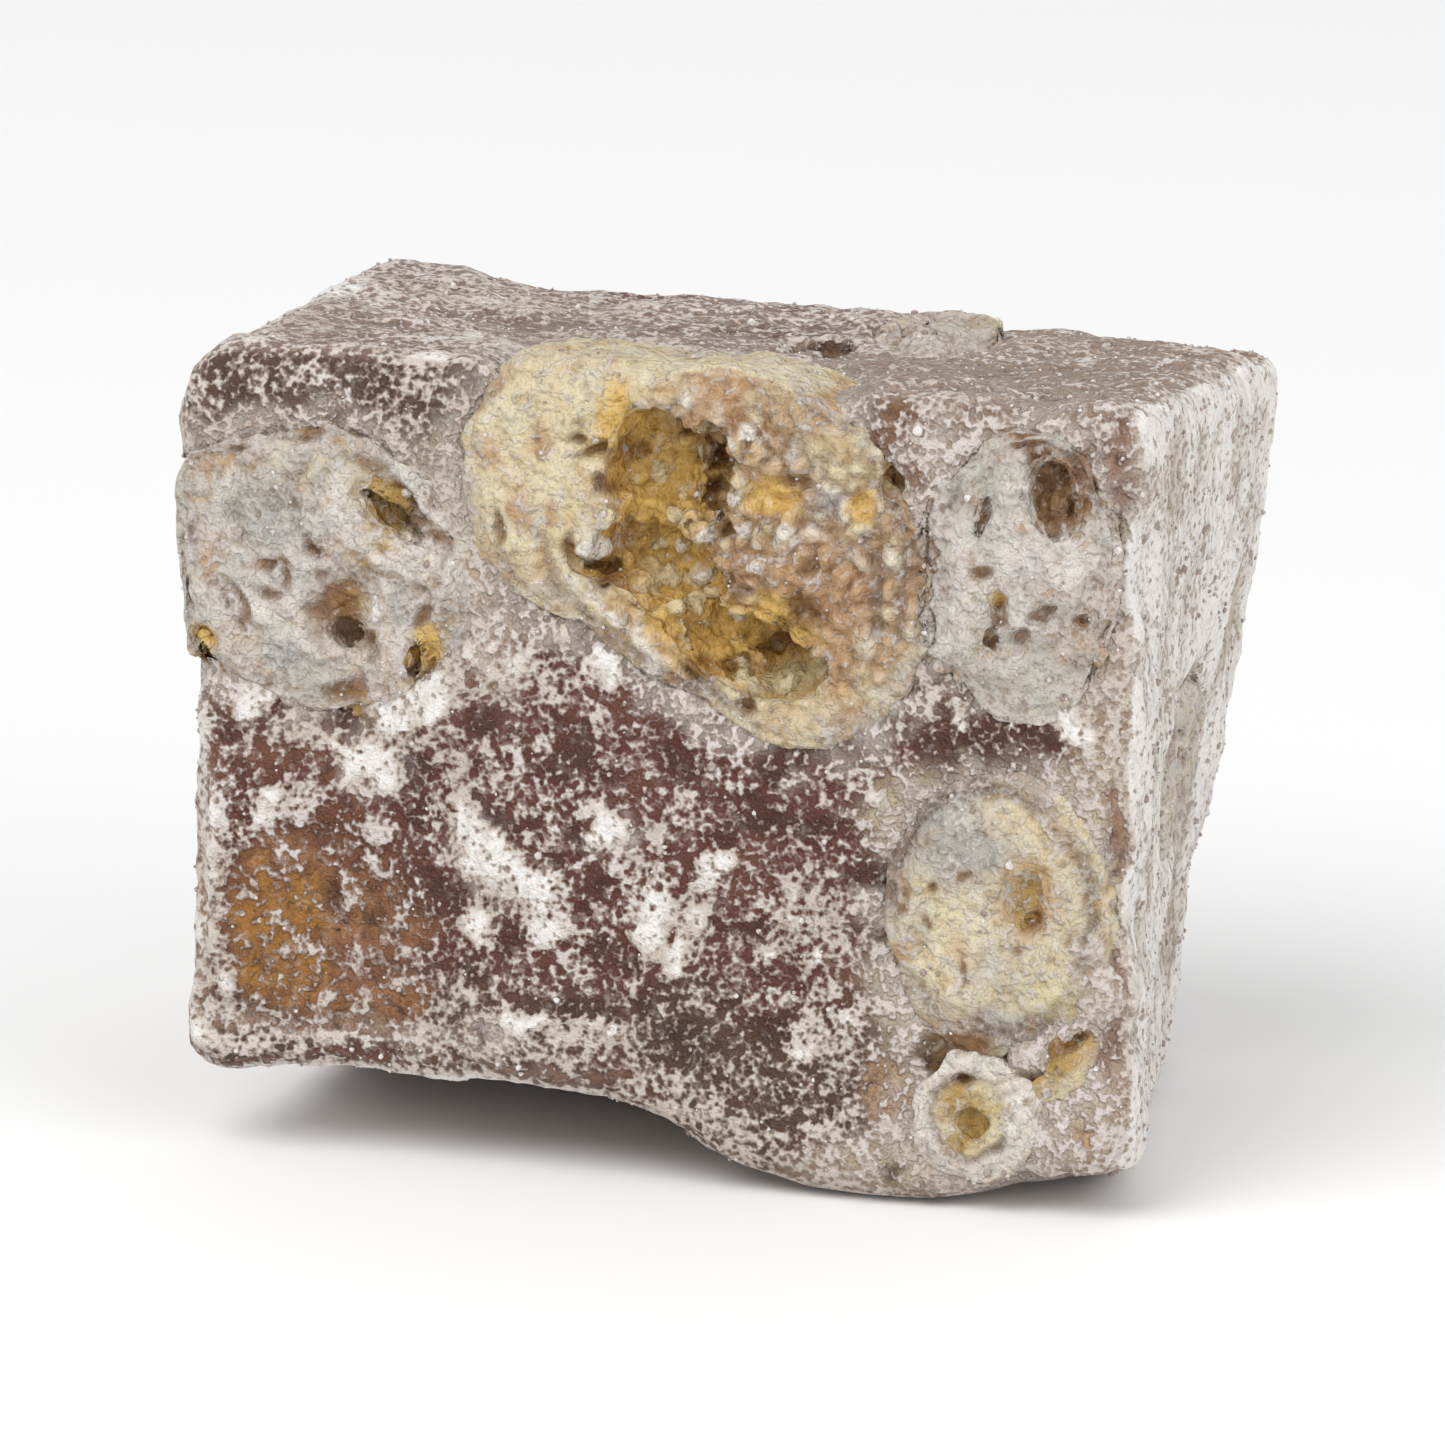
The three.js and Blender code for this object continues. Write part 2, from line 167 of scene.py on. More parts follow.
BARE_DARK = (
    (-4.9, 14.1, 0.7, 0.5), (-2.2, 14.1, 0.9, 0.4, -20), (-2.0, 13.3, 0.6, 0.5), (-2.8, 12.7, 0.8, 0.4),
    (-1.2, 12.6, 0.5, 0.3), (-4.7, 11.2, 0.3, 0.7, 30), (-4.0, 10.6, 0.3, 0.3), (-3.4, 10.9, 0.3, 0.3),
    (-2.0, 10.8, 0.25, 0.8), (-2.9, 9.8, 0.4, 0.35), (-1.3, 9.1, 0.6, 0.4, -20), (-1.8, 8.3, 0.4, 0.25),
    (-4.1, 7.3, 0.5, 0.4), (-1.2, 7.4, 0.4, 0.4), (-0.4, 6.9, 0.5, 0.4, -30), (0.2, 5.8, 0.4, 0.4),
    (-1.8, 5.4, 1.0, 0.25), (-5.2, 6.3, 0.5, 0.5), (4.1, 11.6, 1.4, 0.5), (3.6, 12.3, 0.6, 0.3),
    (5.6, 11.6, 1.0, 0.35), (1.0, 13.2, 0.5, 0.5), (2.6, 11.2, 0.4, 0.4), (7.2, 12.3, 0.4, 0.3, -20),
    (3.0, 8.3, 0.9, 0.25, -15), (2.7, 5.9, 0.5, 0.3), (1.6, 4.6, 0.9, 0.7), (4.2, 5.3, 0.7, 0.4),
    (7.4, 8.2, 0.3, 0.25), (6.8, 8.4, 0.3, 0.3), (6.9, 10.4, 0.6, 0.4), (-13.0, 13.3, 0.7, 0.3, -25),
    (-11.6, 13.7, 0.6, 0.3, 30), (-9.4, 13.6, 0.5, 0.3, 20), (9.0, 14.3, 0.9, 0.7),
    (10.8, 14.6, 1.1, 0.55), (12.4, 14.7, 1.0, 0.6, -20), (11.2, 15.4, 0.3, 0.5),
    (9.6, 15.2, 0.25, 0.5, 10), (8.8, 15.7, 0.5, 0.2, 40), (8.0, 1.1, 0.3, 0.3), (-7.0, 12.3, 0.7, 0.4),
    (-7.2, 10.9, 0.5, 0.5), (-6.8, 8.5, 1.2, 0.8), (4.5, 13.2, 1.2, 0.5),
)
RED_STREAKS = (
    (-11.3, 12.4, 1.3, 0.45), (-10.1, 11.9, 0.4, 0.4), (-13.3, 12.1, 0.6, 0.6), (-9.1, 11.0, 0.35, 0.7),
    (-10.0, 10.4, 0.8, 0.3, 15), (-9.4, 9.6, 1.4, 0.6, -20), (-12.0, 2.9, 1.4, 0.25),
    (-8.9, 3.3, 1.6, 0.22),
)
AMBER_GEL = (
    (-12.0, 7.0, 1.0, 1.5, 20), (-11.4, 5.8, 1.4, 0.9), (-12.2, 8.6, 0.5, 0.8), (-10.8, 7.4, 0.8, 1.6),
)
HONEY_GEL = ((-9.3, 7.9, 2.6, 1.6, -12), (-8.8, 5.3, 2.2, 0.7), (-11.0, 9.4, 1.2, 0.8))
CRUST_MARKS = ((-14.1, 9.4, 0.6, 4.6, -3), (-13.8, 4.0, 0.8, 0.9), (-14.2, 14.0, 0.4, 1.0))
TAN_JELLY = (
    (7.7, 3.7, 0.5, 1.0), (14.0, 2.7, 0.5, 0.5), (15.2, 10.4, 0.2, 2.4), (15.3, 5.4, 0.2, 1.6),
    (12.5, 2.5, 0.4, 0.4), (13.6, 17.3, 1.0, 0.6), (11.9, 1.6, 0.9, 0.2, 10),
)
CREAM_CRUST = (
    (14.3, 9.6, 0.9, 4.2), (8.2, 7.6, 0.9, 2.6), (11.5, 13.3, 3.2, 0.7), (12.0, 4.9, 2.4, 1.4),
    (10.4, 1.7, 3.0, 1.0, 5), (8.0, 12.2, 0.9, 1.1), (13.9, 3.6, 1.0, 1.2), (-6.0, 20.5, 0.8, 2.6),
)
PALE_BLUE_CRUST = (
    (8.9, 20.6, 1.0, 3.8), (11.2, 17.8, 2.6, 0.8), (7.7, 16.0, 0.6, 1.1, 30), (15.5, 19.4, 0.5, 5.0),
    (-8.6, 12.5, 1.4, 0.9), (-5.0, 9.6, 0.9, 1.6), (-0.9, 10.9, 0.9, 0.7), (-4.8, 4.4, 1.3, 0.5),
)
CREVICES = (
    (10.1, 5.3, 1.0, 0.32), (9.2, 4.9, 0.5, 0.2, 35), (11.1, 5.0, 0.5, 0.2, -35),
    (12.1, 4.2, 0.5, 0.2, 45),
)
GOLD_MARKS = (
    (-1.0, 24.0, 0.55, 0.9), (-0.6, 22.8, 1.1, 0.7), (0.5, 21.6, 1.6, 1.3), (0.0, 20.3, 0.9, 1.0),
    (0.3, 19.0, 1.2, 1.2), (1.3, 17.9, 1.3, 1.2), (2.6, 16.9, 1.9, 1.0), (3.9, 17.6, 1.4, 0.9),
    (4.0, 21.6, 0.9, 0.5), (-7.9, 20.5, 1.0, 0.4, -45), (-6.8, 16.2, 0.4, 0.9),
    (-13.8, 15.9, 0.4, 0.35), (11.1, 19.0, 0.25, 0.3), (6.8, 21.5, 0.35, 0.5),
)
OLIVE_MARKS = (
    (-8.3, 20.7, 1.6, 0.7, -45), (13.3, 5.1, 1.4, 0.5, 42), (9.9, 3.6, 0.4, 0.8),
    (-8.3, 18.9, 0.9, 0.5, 30), (-9.4, 17.6, 0.5, 0.5), (12.2, 9.9, 0.5, 1.0, -15),
    (10.6, 3.0, 0.6, 0.8), (10.1, 2.3, 0.5, 0.3),
)
TAN_MARKS = (
    (2.2, 25.0, 1.2, 1.1), (5.0, 24.1, 0.9, 0.4), (1.6, 23.9, 0.8, 0.8), (4.2, 21.9, 1.2, 0.7),
    (5.2, 20.2, 0.7, 0.5), (7.9, 21.2, 0.35, 1.0, 10), (3.2, 22.8, 0.5, 0.5),
    (8.2, 18.7, 0.3, 1.1, -15), (7.6, 17.3, 0.4, 0.8, -20), (7.2, 19.8, 0.3, 0.6),
    (4.0, 19.4, 1.4, 0.9), (-4.7, 24.9, 0.6, 0.6), (-14.5, 21.4, 0.7, 0.5), (-12.9, 21.6, 1.1, 0.35, 5),
    (12.2, 9.9, 0.9, 1.2), (13.5, 17.9, 1.0, 0.5), (11.3, 23.9, 0.35, 0.7), (6.2, 18.0, 0.9, 2.2),
    (6.6, 15.3, 0.5, 0.3, 20), (8.3, 7.8, 0.3, 0.5), (13.9, 20.4, 0.35, 1.9), (-4.9, 22.4, 0.35, 0.6),
    (-3.9, 20.6, 0.3, 0.7, 10), (-3.3, 22.9, 0.4, 0.3), (-2.9, 20.6, 0.3, 0.4), (-5.2, 19.0, 0.3, 0.5),
    (-8.9, 19.0, 0.8, 0.4, -40), (-13.6, 18.4, 0.3, 0.8, 10), (10.3, 21.7, 0.25, 0.5),
    (11.9, 21.3, 0.3, 0.25), (12.7, 19.4, 0.5, 0.25, -20),
)
BROWN_MARKS = (
    (1.5, 22.3, 0.5, 0.4), (1.5, 21.2, 0.35, 0.3), (2.5, 20.6, 0.35, 0.35),
    (-1.4, 21.5, 0.35, 0.25, -40), (-1.5, 22.6, 0.5, 0.22, 30), (-0.9, 22.3, 0.4, 0.25),
    (-2.4, 19.5, 0.22, 0.4), (-1.9, 18.95, 0.6, 0.2, -25), (-1.25, 18.7, 0.3, 0.35),
    (5.0, 18.1, 0.6, 0.6), (4.2, 17.3, 0.5, 0.4, -40), (3.7, 16.6, 0.6, 0.25, 10),
    (1.6, 16.0, 0.5, 0.22, -35), (2.4, 16.0, 0.5, 0.2, 15), (2.2, 19.2, 0.7, 0.18, -40),
    (3.0, 18.6, 0.3, 0.25), (1.0, 19.7, 0.35, 0.25), (-2.05, 23.0, 0.25, 0.2), (0.8, 23.3, 0.3, 0.3),
    (7.7, 23.8, 0.45, 0.75), (8.3, 22.6, 0.35, 0.28), (4.8, 22.1, 0.5, 0.22), (5.1, 19.6, 0.3, 0.25),
    (-4.6, 20.1, 0.18, 0.5), (-8.7, 21.6, 0.6, 0.25, -10), (-7.9, 21.2, 0.5, 0.2, -45),
    (-7.2, 20.4, 0.7, 0.22, -50), (-6.5, 19.6, 0.5, 0.2, -20), (-7.7, 20.0, 0.3, 0.25),
    (-9.65, 17.05, 0.8, 1.0, 10), (-9.2, 16.3, 0.4, 0.4), (-8.7, 16.1, 0.2, 0.5),
    (-8.6, 15.9, 0.25, 0.2), (-6.95, 17.3, 0.2, 0.4, -20), (-7.1, 18.0, 0.25, 0.25),
    (-14.3, 17.4, 0.18, 0.5), (-11.7, 17.5, 0.3, 0.22), (-11.15, 18.2, 0.14, 0.35),
    (-11.7, 18.5, 0.5, 0.14), (-12.7, 17.2, 0.14, 0.6, 25), (-9.4, 14.6, 0.8, 0.35, 10),
    (-10.4, 19.1, 0.18, 0.3, 30), (-10.1, 18.1, 0.25, 0.2), (-10.6, 22.5, 0.4, 0.15),
    (-8.7, 22.6, 0.6, 0.13, -15), (-6.7, 20.9, 0.15, 0.4), (12.0, 23.8, 1.0, 0.5, -50),
    (13.7, 23.5, 0.9, 0.45, 50), (12.9, 22.9, 1.15, 0.65), (12.6, 22.0, 0.6, 0.7),
    (13.4, 21.9, 0.35, 0.6, 10), (10.7, 23.9, 0.35, 0.35), (11.9, 22.3, 0.3, 0.2, 20),
    (11.2, 18.6, 0.25, 0.4), (11.7, 18.0, 0.25, 0.2), (12.4, 18.6, 0.5, 0.2, 20),
    (10.6, 19.9, 0.3, 0.2), (13.6, 18.4, 0.2, 0.2), (12.4, 9.3, 0.3, 0.3), (11.8, 8.3, 0.2, 0.2),
    (10.2, 7.5, 0.14, 0.3), (8.5, 9.8, 0.2, 0.17), (8.3, 9.3, 0.17, 0.15), (9.0, 9.1, 0.16, 0.16),
    (10.2, 10.5, 0.2, 0.15, 30), (9.3, 10.2, 0.15, 0.2), (3.3, 15.1, 0.35, 0.3),
    (13.4, 5.5, 0.9, 0.2, 42), (10.2, 4.1, 0.3, 0.2),
)
GREY_MARKS = (
    (-12.2, 20.4, 0.8, 1.4, 15), (-13.2, 22.9, 1.0, 0.9), (10.2, 11.2, 1.7, 0.8),
    (9.0, 12.3, 1.3, 0.8, 20), (-11.1, 15.7, 1.1, 0.6), (-7.5, 17.6, 0.5, 0.7), (12.0, 5.9, 0.9, 0.6),
    (5.6, 21.6, 0.6, 0.5),
)
WHITE_MARKS = (
    (-9.0, 22.95, 1.0, 0.16), (-8.55, 17.3, 0.16, 0.3), (-7.4, 19.4, 0.5, 0.25, -15),
    (-6.4, 22.2, 0.2, 0.6, 30), (11.5, 22.3, 0.4, 0.8), (13.3, 20.2, 0.7, 0.8), (9.4, 23.4, 0.6, 1.0),
    (0.2, 16.6, 0.22, 1.0, 25), (9.9, 20.6, 0.45, 0.9), (11.4, 20.3, 0.6, 0.4, 20),
    (10.0, 18.8, 0.4, 0.5), (13.6, 24.6, 0.6, 0.2), (9.8, 17.6, 0.7, 0.5), (-1.0, 17.6, 0.9, 0.16, -40),
    (11.8, 3.2, 0.25, 0.8), (9.9, 5.0, 1.1, 0.16),
)
YELLOW_MARKS = (
    (12.6, 7.0, 1.3, 0.6), (4.0, 15.7, 1.4, 0.5), (11.2, 3.6, 0.5, 0.9), (-10.0, 21.6, 0.9, 0.5),
)

# Fine lines, each along an oval's edge, with the same numbers as a mark.
ARCS = (
    (-11.7, 18.0, 0.62, 0.7), (-9.5, 19.6, 3.2, 3.3), (-9.5, 19.6, 2.5, 2.6),
    (-12.0, 17.9, 1.3, 1.5, 20), (-9.3, 17.1, 0.9, 0.9), (11.0, 9.4, 3.1, 3.7, 5),
    (11.8, 20.4, 2.3, 3.9, 4), (10.5, 3.0, 1.4, 1.3), (-8.6, 20.2, 1.9, 2.0),
    (-13.2, 20.0, 1.2, 2.4, 10),
)
PALE_ARCS = (
    (-9.5, 19.6, 2.85, 2.95), (-9.5, 19.6, 3.7, 3.6), (-8.2, 20.2, 1.2, 1.9, 45), (10.5, 3.0, 1.7, 1.6),
    (-11.8, 17.9, 0.95, 1.05),
)

# Thin lines on the nuts, each through points x, z.
NUT_TRACES = (
    ((-3.3, 19.9), (-2.7, 18.4), (-1.0, 16.9), (0.9, 15.7), (3.2, 14.9)),
    ((7.7, 21.9), (8.2, 20.0), (8.0, 17.6)), ((6.9, 20.6), (7.4, 19.2), (7.1, 17.6)),
    ((-12.9, 22.0), (-10.4, 22.9), (-7.9, 22.3), (-6.4, 20.6)),
    ((-12.7, 21.6), (-13.0, 20.3), (-12.7, 19.2)),
    ((-10.7, 21.8), (-11.2, 20.9), (-11.0, 19.9), (-10.2, 19.0)),
    ((10.9, 23.0), (10.5, 22.2), (10.7, 21.4)),
    ((13.9, 22.4), (14.1, 20.8), (13.8, 19.2), (12.9, 17.9)),
)

# Thin lines on the jelly's front, each through points x, z.
BROWN_TRACES = (
    ((15.0, 14.2), (15.3, 10.5), (15.2, 7.0), (14.9, 3.6)),
    ((14.9, 24.4), (14.8, 21.0), (14.6, 18.6), (14.1, 17.2), (13.3, 15.7)),
    ((-14.1, 12.2), (-14.0, 8.0), (-14.0, 5.2), (-13.6, 4.3)),
    ((-14.2, 3.1), (-12.4, 2.8), (-9.8, 2.7), (-7.8, 2.9)), ((-13.2, 4.1), (-10.6, 4.4), (-8.2, 4.1)),
    ((-5.0, 3.3), (-3.0, 3.3), (-0.5, 3.4)), ((8.4, 17.9), (8.7, 19.2), (8.4, 21.2)),
)
PALE_TRACES = (
    ((15.6, 14.4), (15.7, 9.5), (15.5, 4.0)), ((-14.5, 12.0), (-14.4, 8.0), (-14.3, 4.8)),
    ((-13.5, 11.6), (-13.4, 8.4), (-13.3, 5.8), (-12.2, 4.6), (-9.8, 4.6)),
    ((-14.0, 3.6), (-12.0, 3.3), (-9.9, 3.4)), ((-6.4, 14.9), (-4.6, 16.6)),
    ((-5.4, 14.7), (-3.5, 16.3)), ((-5.2, 16.3), (-5.8, 15.3)), ((-4.2, 4.9), (-0.8, 4.9)),
    ((9.2, 17.4), (7.7, 15.7), (6.6, 14.6)), ((0.3, 8.1), (0.9, 9.1)), ((1.1, 7.6), (0.9, 8.9)),
)

# Grains that stand up on the middle nut: x, z and radius.
STANDING_GRAINS = (
    (3.1, 23.6, 0.28), (2.6, 23.2, 0.22), (2.2, 21.2, 0.25), (2.8, 21.5, 0.22), (3.1, 20.6, 0.26),
    (4.3, 20.6, 0.3), (3.4, 19.4, 0.24), (1.9, 20.2, 0.25), (-1.75, 19.6, 0.38), (0.5, 19.4, 0.25),
    (1.3, 18.5, 0.3), (2.3, 17.4, 0.3), (4.9, 24.6, 0.3), (1.2, 24.4, 0.25),
)

# Where the middle nut is granular, as marks.
GRANULAR = (
    (2.6, 22.2, 3.0, 3.2), (3.8, 18.6, 3.0, 3.2), (1.0, 19.4, 2.4, 3.0), (6.2, 19.4, 2.4, 4.0, -8),
)


# Noise and marks

def lattice(cell):
    """A random number from 0 to 255 for each cell of a lattice."""
    x, y, z = (cell & 255).T
    return SHUFFLED[(SHUFFLED[(SHUFFLED[x] + y) & 255] + z) & 255]


def cells(points, size, seed):
    """Where each point lies in a lattice with cells of a size, and the cell that holds it."""
    place = points / size + SEED_SHIFT * seed
    return place, np.floor(place).astype(int)


def noise(points, wavelength, seed=0):
    """Smooth noise from about -1 to 1."""
    place, cell = cells(points, wavelength, seed)
    inside = place - cell
    fade = inside ** 3 * (inside * (inside * 6 - 15) + 10)
    total = np.zeros(len(points))
    for corner in itertools.product((0, 1), repeat=3):
        slope = SLOPES[lattice(cell + corner)]
        weight = np.prod(np.where(corner, fade, 1 - fade), axis=1)
        total += weight * ((inside - corner) * slope).sum(1)
    return 1.6 * total


def rough(points, wavelength, seed=0, octaves=3):
    """Noise with finer and finer noise on it."""
    return sum(noise(points, wavelength / 2 ** k, seed + k) / 1.8 ** k for k in range(octaves))


def granules(points, size, seed=0):
    """How far inside its granule each point is, 0 at the edge, and the granule's random number."""
    place, cell = cells(points, size, seed)
    nearest = np.full(len(points), 9.0)
    second = np.full(len(points), 9.0)
    number = np.zeros(len(points))
    for corner in itertools.product((-1, 0, 1), repeat=3):
        key = lattice(cell + corner)
        distance = np.linalg.norm(cell + corner + JITTER[key] - place, axis=1)
        closer = distance < nearest
        second = np.where(closer, nearest, np.minimum(second, distance))
        nearest = np.where(closer, distance, nearest)
        number = np.where(closer, key / 255, number)
    return np.clip(second - nearest, 0, 1), number


def step(values, low, high):
    """0 below low, 1 above high, and smooth between."""
    t = np.clip((values - low) / (high - low), 0, 1)
    return t * t * (3 - 2 * t)


def off_middle(points, mark):
    """How far each point is from the middle of an oval mark whose edge is at 1."""
    x, z, across, upright, *tilt = mark
    turn = math.radians(sum(tilt))
    dx, dz = points[:, 0] - x, points[:, 2] - z
    along = (dx * math.cos(turn) + dz * math.sin(turn)) / across
    athwart = (dz * math.cos(turn) - dx * math.sin(turn)) / upright
    return np.hypot(along, athwart)


def marked(points, marks, softness=0.35):
    """How far each point lies inside any of the marks, from 0 to 1."""
    inside = np.zeros(len(points))
    for mark in marks:
        inside = np.maximum(inside, 1 - step(off_middle(points, mark), 1 - softness, 1 + softness))
    return inside


def lined(points, arcs, width):
    """How near each point lies to the edge of any of the arcs' ovals, from 0 to 1."""
    near = np.zeros(len(points))
    for arc in arcs:
        off = np.abs(off_middle(points, arc) - 1) * min(arc[2:4])
        near = np.maximum(near, 1 - step(off, 0.3 * width, width))
    return near


def traced(points, traces, width):
    """How near each point lies to any of the traces, from 0 to 1."""
    near = np.zeros(len(points))
    place = points[:, ::2]
    for trace in traces:
        for start, end in zip(trace, trace[1:]):
            start, along = np.array(start), np.subtract(end, start)
            part = np.clip((place - start) @ along / (along @ along), 0, 1)
            off = np.linalg.norm(place - start - part[:, None] * along, axis=1)
            near = np.maximum(near, 1 - step(off, 0.3 * width, width))
    return near


def tinted(base, tint, amount):
    """Colours of points, moved towards a tint by an amount for each point."""
    return base + (tint - base) * np.clip(amount, 0, 1)[:, None]


# Meshes

def array_of(collection, field, width):
    values = np.empty(len(collection) * width)
    collection.foreach_get(field, values)
    return values.reshape(-1, width)


def average_along_edges(mesh, values, rounds):
    """Values of the vertices, each evened out with its neighbours' again and again."""
    edges = np.empty(len(mesh.edges) * 2, int)
    mesh.edges.foreach_get("vertices", edges)
    a, b = edges.reshape(-1, 2).T
    size = len(mesh.vertices)
    count = np.maximum(np.bincount(a, minlength=size) + np.bincount(b, minlength=size), 1)
    values = values.copy()
    for _ in range(rounds):
        for column in values.reshape(size, -1).T:
            total = np.bincount(a, column[b], size) + np.bincount(b, column[a], size)
            column += 0.5 * (total / count - column)
    return values


def tree_of(nodes):
    """A search tree over the frame's solids, in millimetres."""
    corners, faces = [], []
    for node in nodes:
        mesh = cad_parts[node].data
        faces += [[len(corners) + k for k in polygon.vertices] for polygon in mesh.polygons]
        corners += [vertex.co / MM for vertex in mesh.vertices]
    return BVHTree.FromPolygons(corners, faces)


def add_object(name, data):
    made = bpy.data.objects.new(name, data)
    bpy.context.collection.objects.link(made)
    return made


def evenly_meshed(thing, face):
    """An object's mesh, made again from even faces."""
    remesh = thing.modifiers.new("even faces", "REMESH")
    remesh.mode = "VOXEL"
    remesh.voxel_size = face
    graph = bpy.context.evaluated_depsgraph_get()
    mesh = bpy.data.meshes.new_from_object(thing.evaluated_get(graph))
    thing.modifiers.clear()
    return mesh


class Piece:
    """A fine copy of a CAD node, with its points in millimetres while it is being shaped.

    Its surface is evened in rounds at first, and the edges of its marks wander by up to a distance.
    """

    def __init__(self, node, face, rounds, wander):
        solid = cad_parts[node].data.copy()
        solid.transform(Matrix.Scale(1 / MM, 4))
        self.node, self.face = node, face
        self.object = add_object(node + "_fine", solid)
        self.mesh = evenly_meshed(self.object, face)
        self.object.data = self.mesh
        self.points = average_along_edges(self.mesh, array_of(self.mesh.vertices, "co", 3), rounds)
        self.settle()
        stray = np.column_stack([rough(self.points, 1.3, 40 + k, 3) for k in range(3)])
        self.wandering = self.points + stray * wander  # where marks are looked up

    def settle(self):
        """Puts the points into the mesh and finds their normals."""
        self.mesh.vertices.foreach_set("co", self.points.ravel())
        self.mesh.update()
        self.normals = array_of(self.mesh.vertex_normals, "vector", 3)

    def push(self, distance):
        """Moves each point out along its normal."""
        self.shift(self.normals * distance[:, None])

    def shift(self, way):
        """Moves each point its own way."""
        self.points = self.points + way
        self.settle()

    def turned(self, direction, low=0.5, high=0.8):
        """How far the surface at each point looks in a direction, from 0 to 1."""
        return step(self.normals @ np.array(direction), low, high)

    def relief(self, rounds):
        """How far each point stands out of the evened surface round it."""
        evened = average_along_edges(self.mesh, self.points, rounds)
        return ((self.points - evened) * self.normals).sum(1)

    def marked(self, marks, softness=0.35):
        """How far each point lies inside any of the marks, with ragged edges, from 0 to 1."""
        return marked(self.wandering, marks, softness)

    def painted(self, base, coats):
        """Colours of points, with coats of marks on the front: tint, marks, strength and softness."""
        for tint, marks, strength, softness in coats:
            base = tinted(base, tint, strength * self.front * self.marked(marks, softness))
        return base

    def way_to(self, tree, reach):
        """How far each point is from other solids, up to a reach, and its way there."""
        near = np.full(len(self.points), float(reach))
        way = np.zeros_like(self.points)
        for k, point in enumerate(self.points):
            place, _, _, distance = tree.find_nearest(point, reach)
            if place is not None:
                near[k] = distance
                way[k] = np.array(place) - point
        return near, way

    def keep(self, name, values):
        """Stores a value, or a colour, at each vertex for the material."""
        if values.ndim == 1:
            layer = self.mesh.attributes.new(name, "FLOAT", "POINT")
            layer.data.foreach_set("value", values)
        else:
            layer = self.mesh.attributes.new(name, "FLOAT_COLOR", "POINT")
            layer.data.foreach_set("color", np.clip(values, 0, 1).ravel())

    def finish(self, material, slot):
        """Gives the piece its material and its place in the frame."""
        self.mesh.transform(Matrix.Scale(MM, 4))
        self.mesh.materials.clear()
        self.mesh.materials.append(material)
        self.mesh.shade_smooth()
        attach(self.object, "root")
        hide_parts(self.node)


# Materials

class Shade:
    """A socket of a material's nodes, which can be reckoned with as a number."""

    def __init__(self, tree, socket=None):
        self.tree, self.socket = tree, socket

    def node(self, kind, settings=(), inputs=(), output=0):
        """Adds a node with its settings and its sockets' values or links, and gives its output."""
        made = self.tree.nodes.new("ShaderNode" + kind)
        for key, value in dict(settings).items():
            setattr(made, key, value)
        for key, value in dict(inputs).items():
            if isinstance(value, Shade):
                self.tree.links.new(value.socket, made.inputs[key])
            else:
                made.inputs[key].default_value = value
        return Shade(self.tree, made.outputs[output])

    def math(self, operation, *values, clamp=False):
        return self.node("Math", {"operation": operation, "use_clamp": clamp}, enumerate(values))

    def __add__(self, other):
        return self.math("ADD", self, other)

    def __sub__(self, other):
        return self.math("SUBTRACT", self, other)

    def __rsub__(self, other):
        return self.math("SUBTRACT", other, self)

    def __mul__(self, other):
        return self.math("MULTIPLY", self, other)

    __radd__, __rmul__ = __add__, __mul__

    def clamped(self):
        return self.math("ADD", self, 0, clamp=True)

    def over(self, low, high):
        """0 below low, 1 above high."""
        return self.math("MULTIPLY", self - low, 1 / (high - low), clamp=True)

    def attribute(self, name, output="Fac"):
        return self.node("Attribute", {"attribute_name": name}, output=output)

    def speckle(self, size, detail=2.0):
        """Noise round 0, mostly from -1 to 1, with features of a size."""
        place = self.node("TexCoord", output="Object")
        fineness = 1 / (2 * size * MM)
        made = self.node("TexNoise", (), {"Vector": place, "Scale": fineness, "Detail": detail})
        return (made - 0.5) * 4

    def blend(self, amount, first, second, how="MIX"):
        """The first colour where amount is 0, the second where it is 1."""
        mix = {"data_type": "RGBA", "blend_type": how}
        return self.node("Mix", mix, {0: amount, 6: first, 7: second}, output=2)


class Finish:
    """A material with one shader. Its shade makes the nodes that feed the shader."""

    def __init__(self, name):
        self.material = bpy.data.materials.new(name)
        self.material.use_nodes = True
        self.tree = self.material.node_tree
        self.shader = next(node for node in self.tree.nodes if node.type == "BSDF_PRINCIPLED")
        self.shade = Shade(self.tree)

    def feed(self, socket, value):
        """Links what changes over the surface."""
        self.tree.links.new(value.socket, self.shader.inputs[socket])

    def fix(self, socket, value):
        """Sets what is the same all over the surface."""
        self.shader.inputs[socket].default_value = value

    def roughen(self, height, depth):
        """Bumps the surface, up to a depth."""
        bump = {"Strength": 0.9, "Distance": depth * MM, "Height": height}
        self.feed("Normal", self.shade.node("Bump", (), bump))

    def let_light_in(self, depth):
        self.fix("Specular IOR Level", 0.35)
        self.fix("Subsurface Weight", 0.1)
        self.fix("Subsurface Radius", (1.0, 0.55, 0.3))
        self.fix("Subsurface Scale", depth * MM)


def powder_cover(shade, amount):
    """Where powder lies, from its amount: small clumps, with single grains at their edges."""
    cover = (amount - 0.5) * 1.8 + shade.speckle(0.11, 1.0) * 0.9
    return (cover + shade.speckle(0.27, 1.0) * 0.45 + 0.5).clamped()


def gritty(shade, tone, strength):
    """A colour with darker and lighter grit in it."""
    grit = shade.speckle(0.2, 2.0)
    darker = shade.blend((0 - grit).over(0.1, 1.0) * strength, tone, SHADOW_TINT, "MULTIPLY")
    return shade.blend(grit.over(0.3, 1.3) * (0.6 * strength), darker, WHITE)


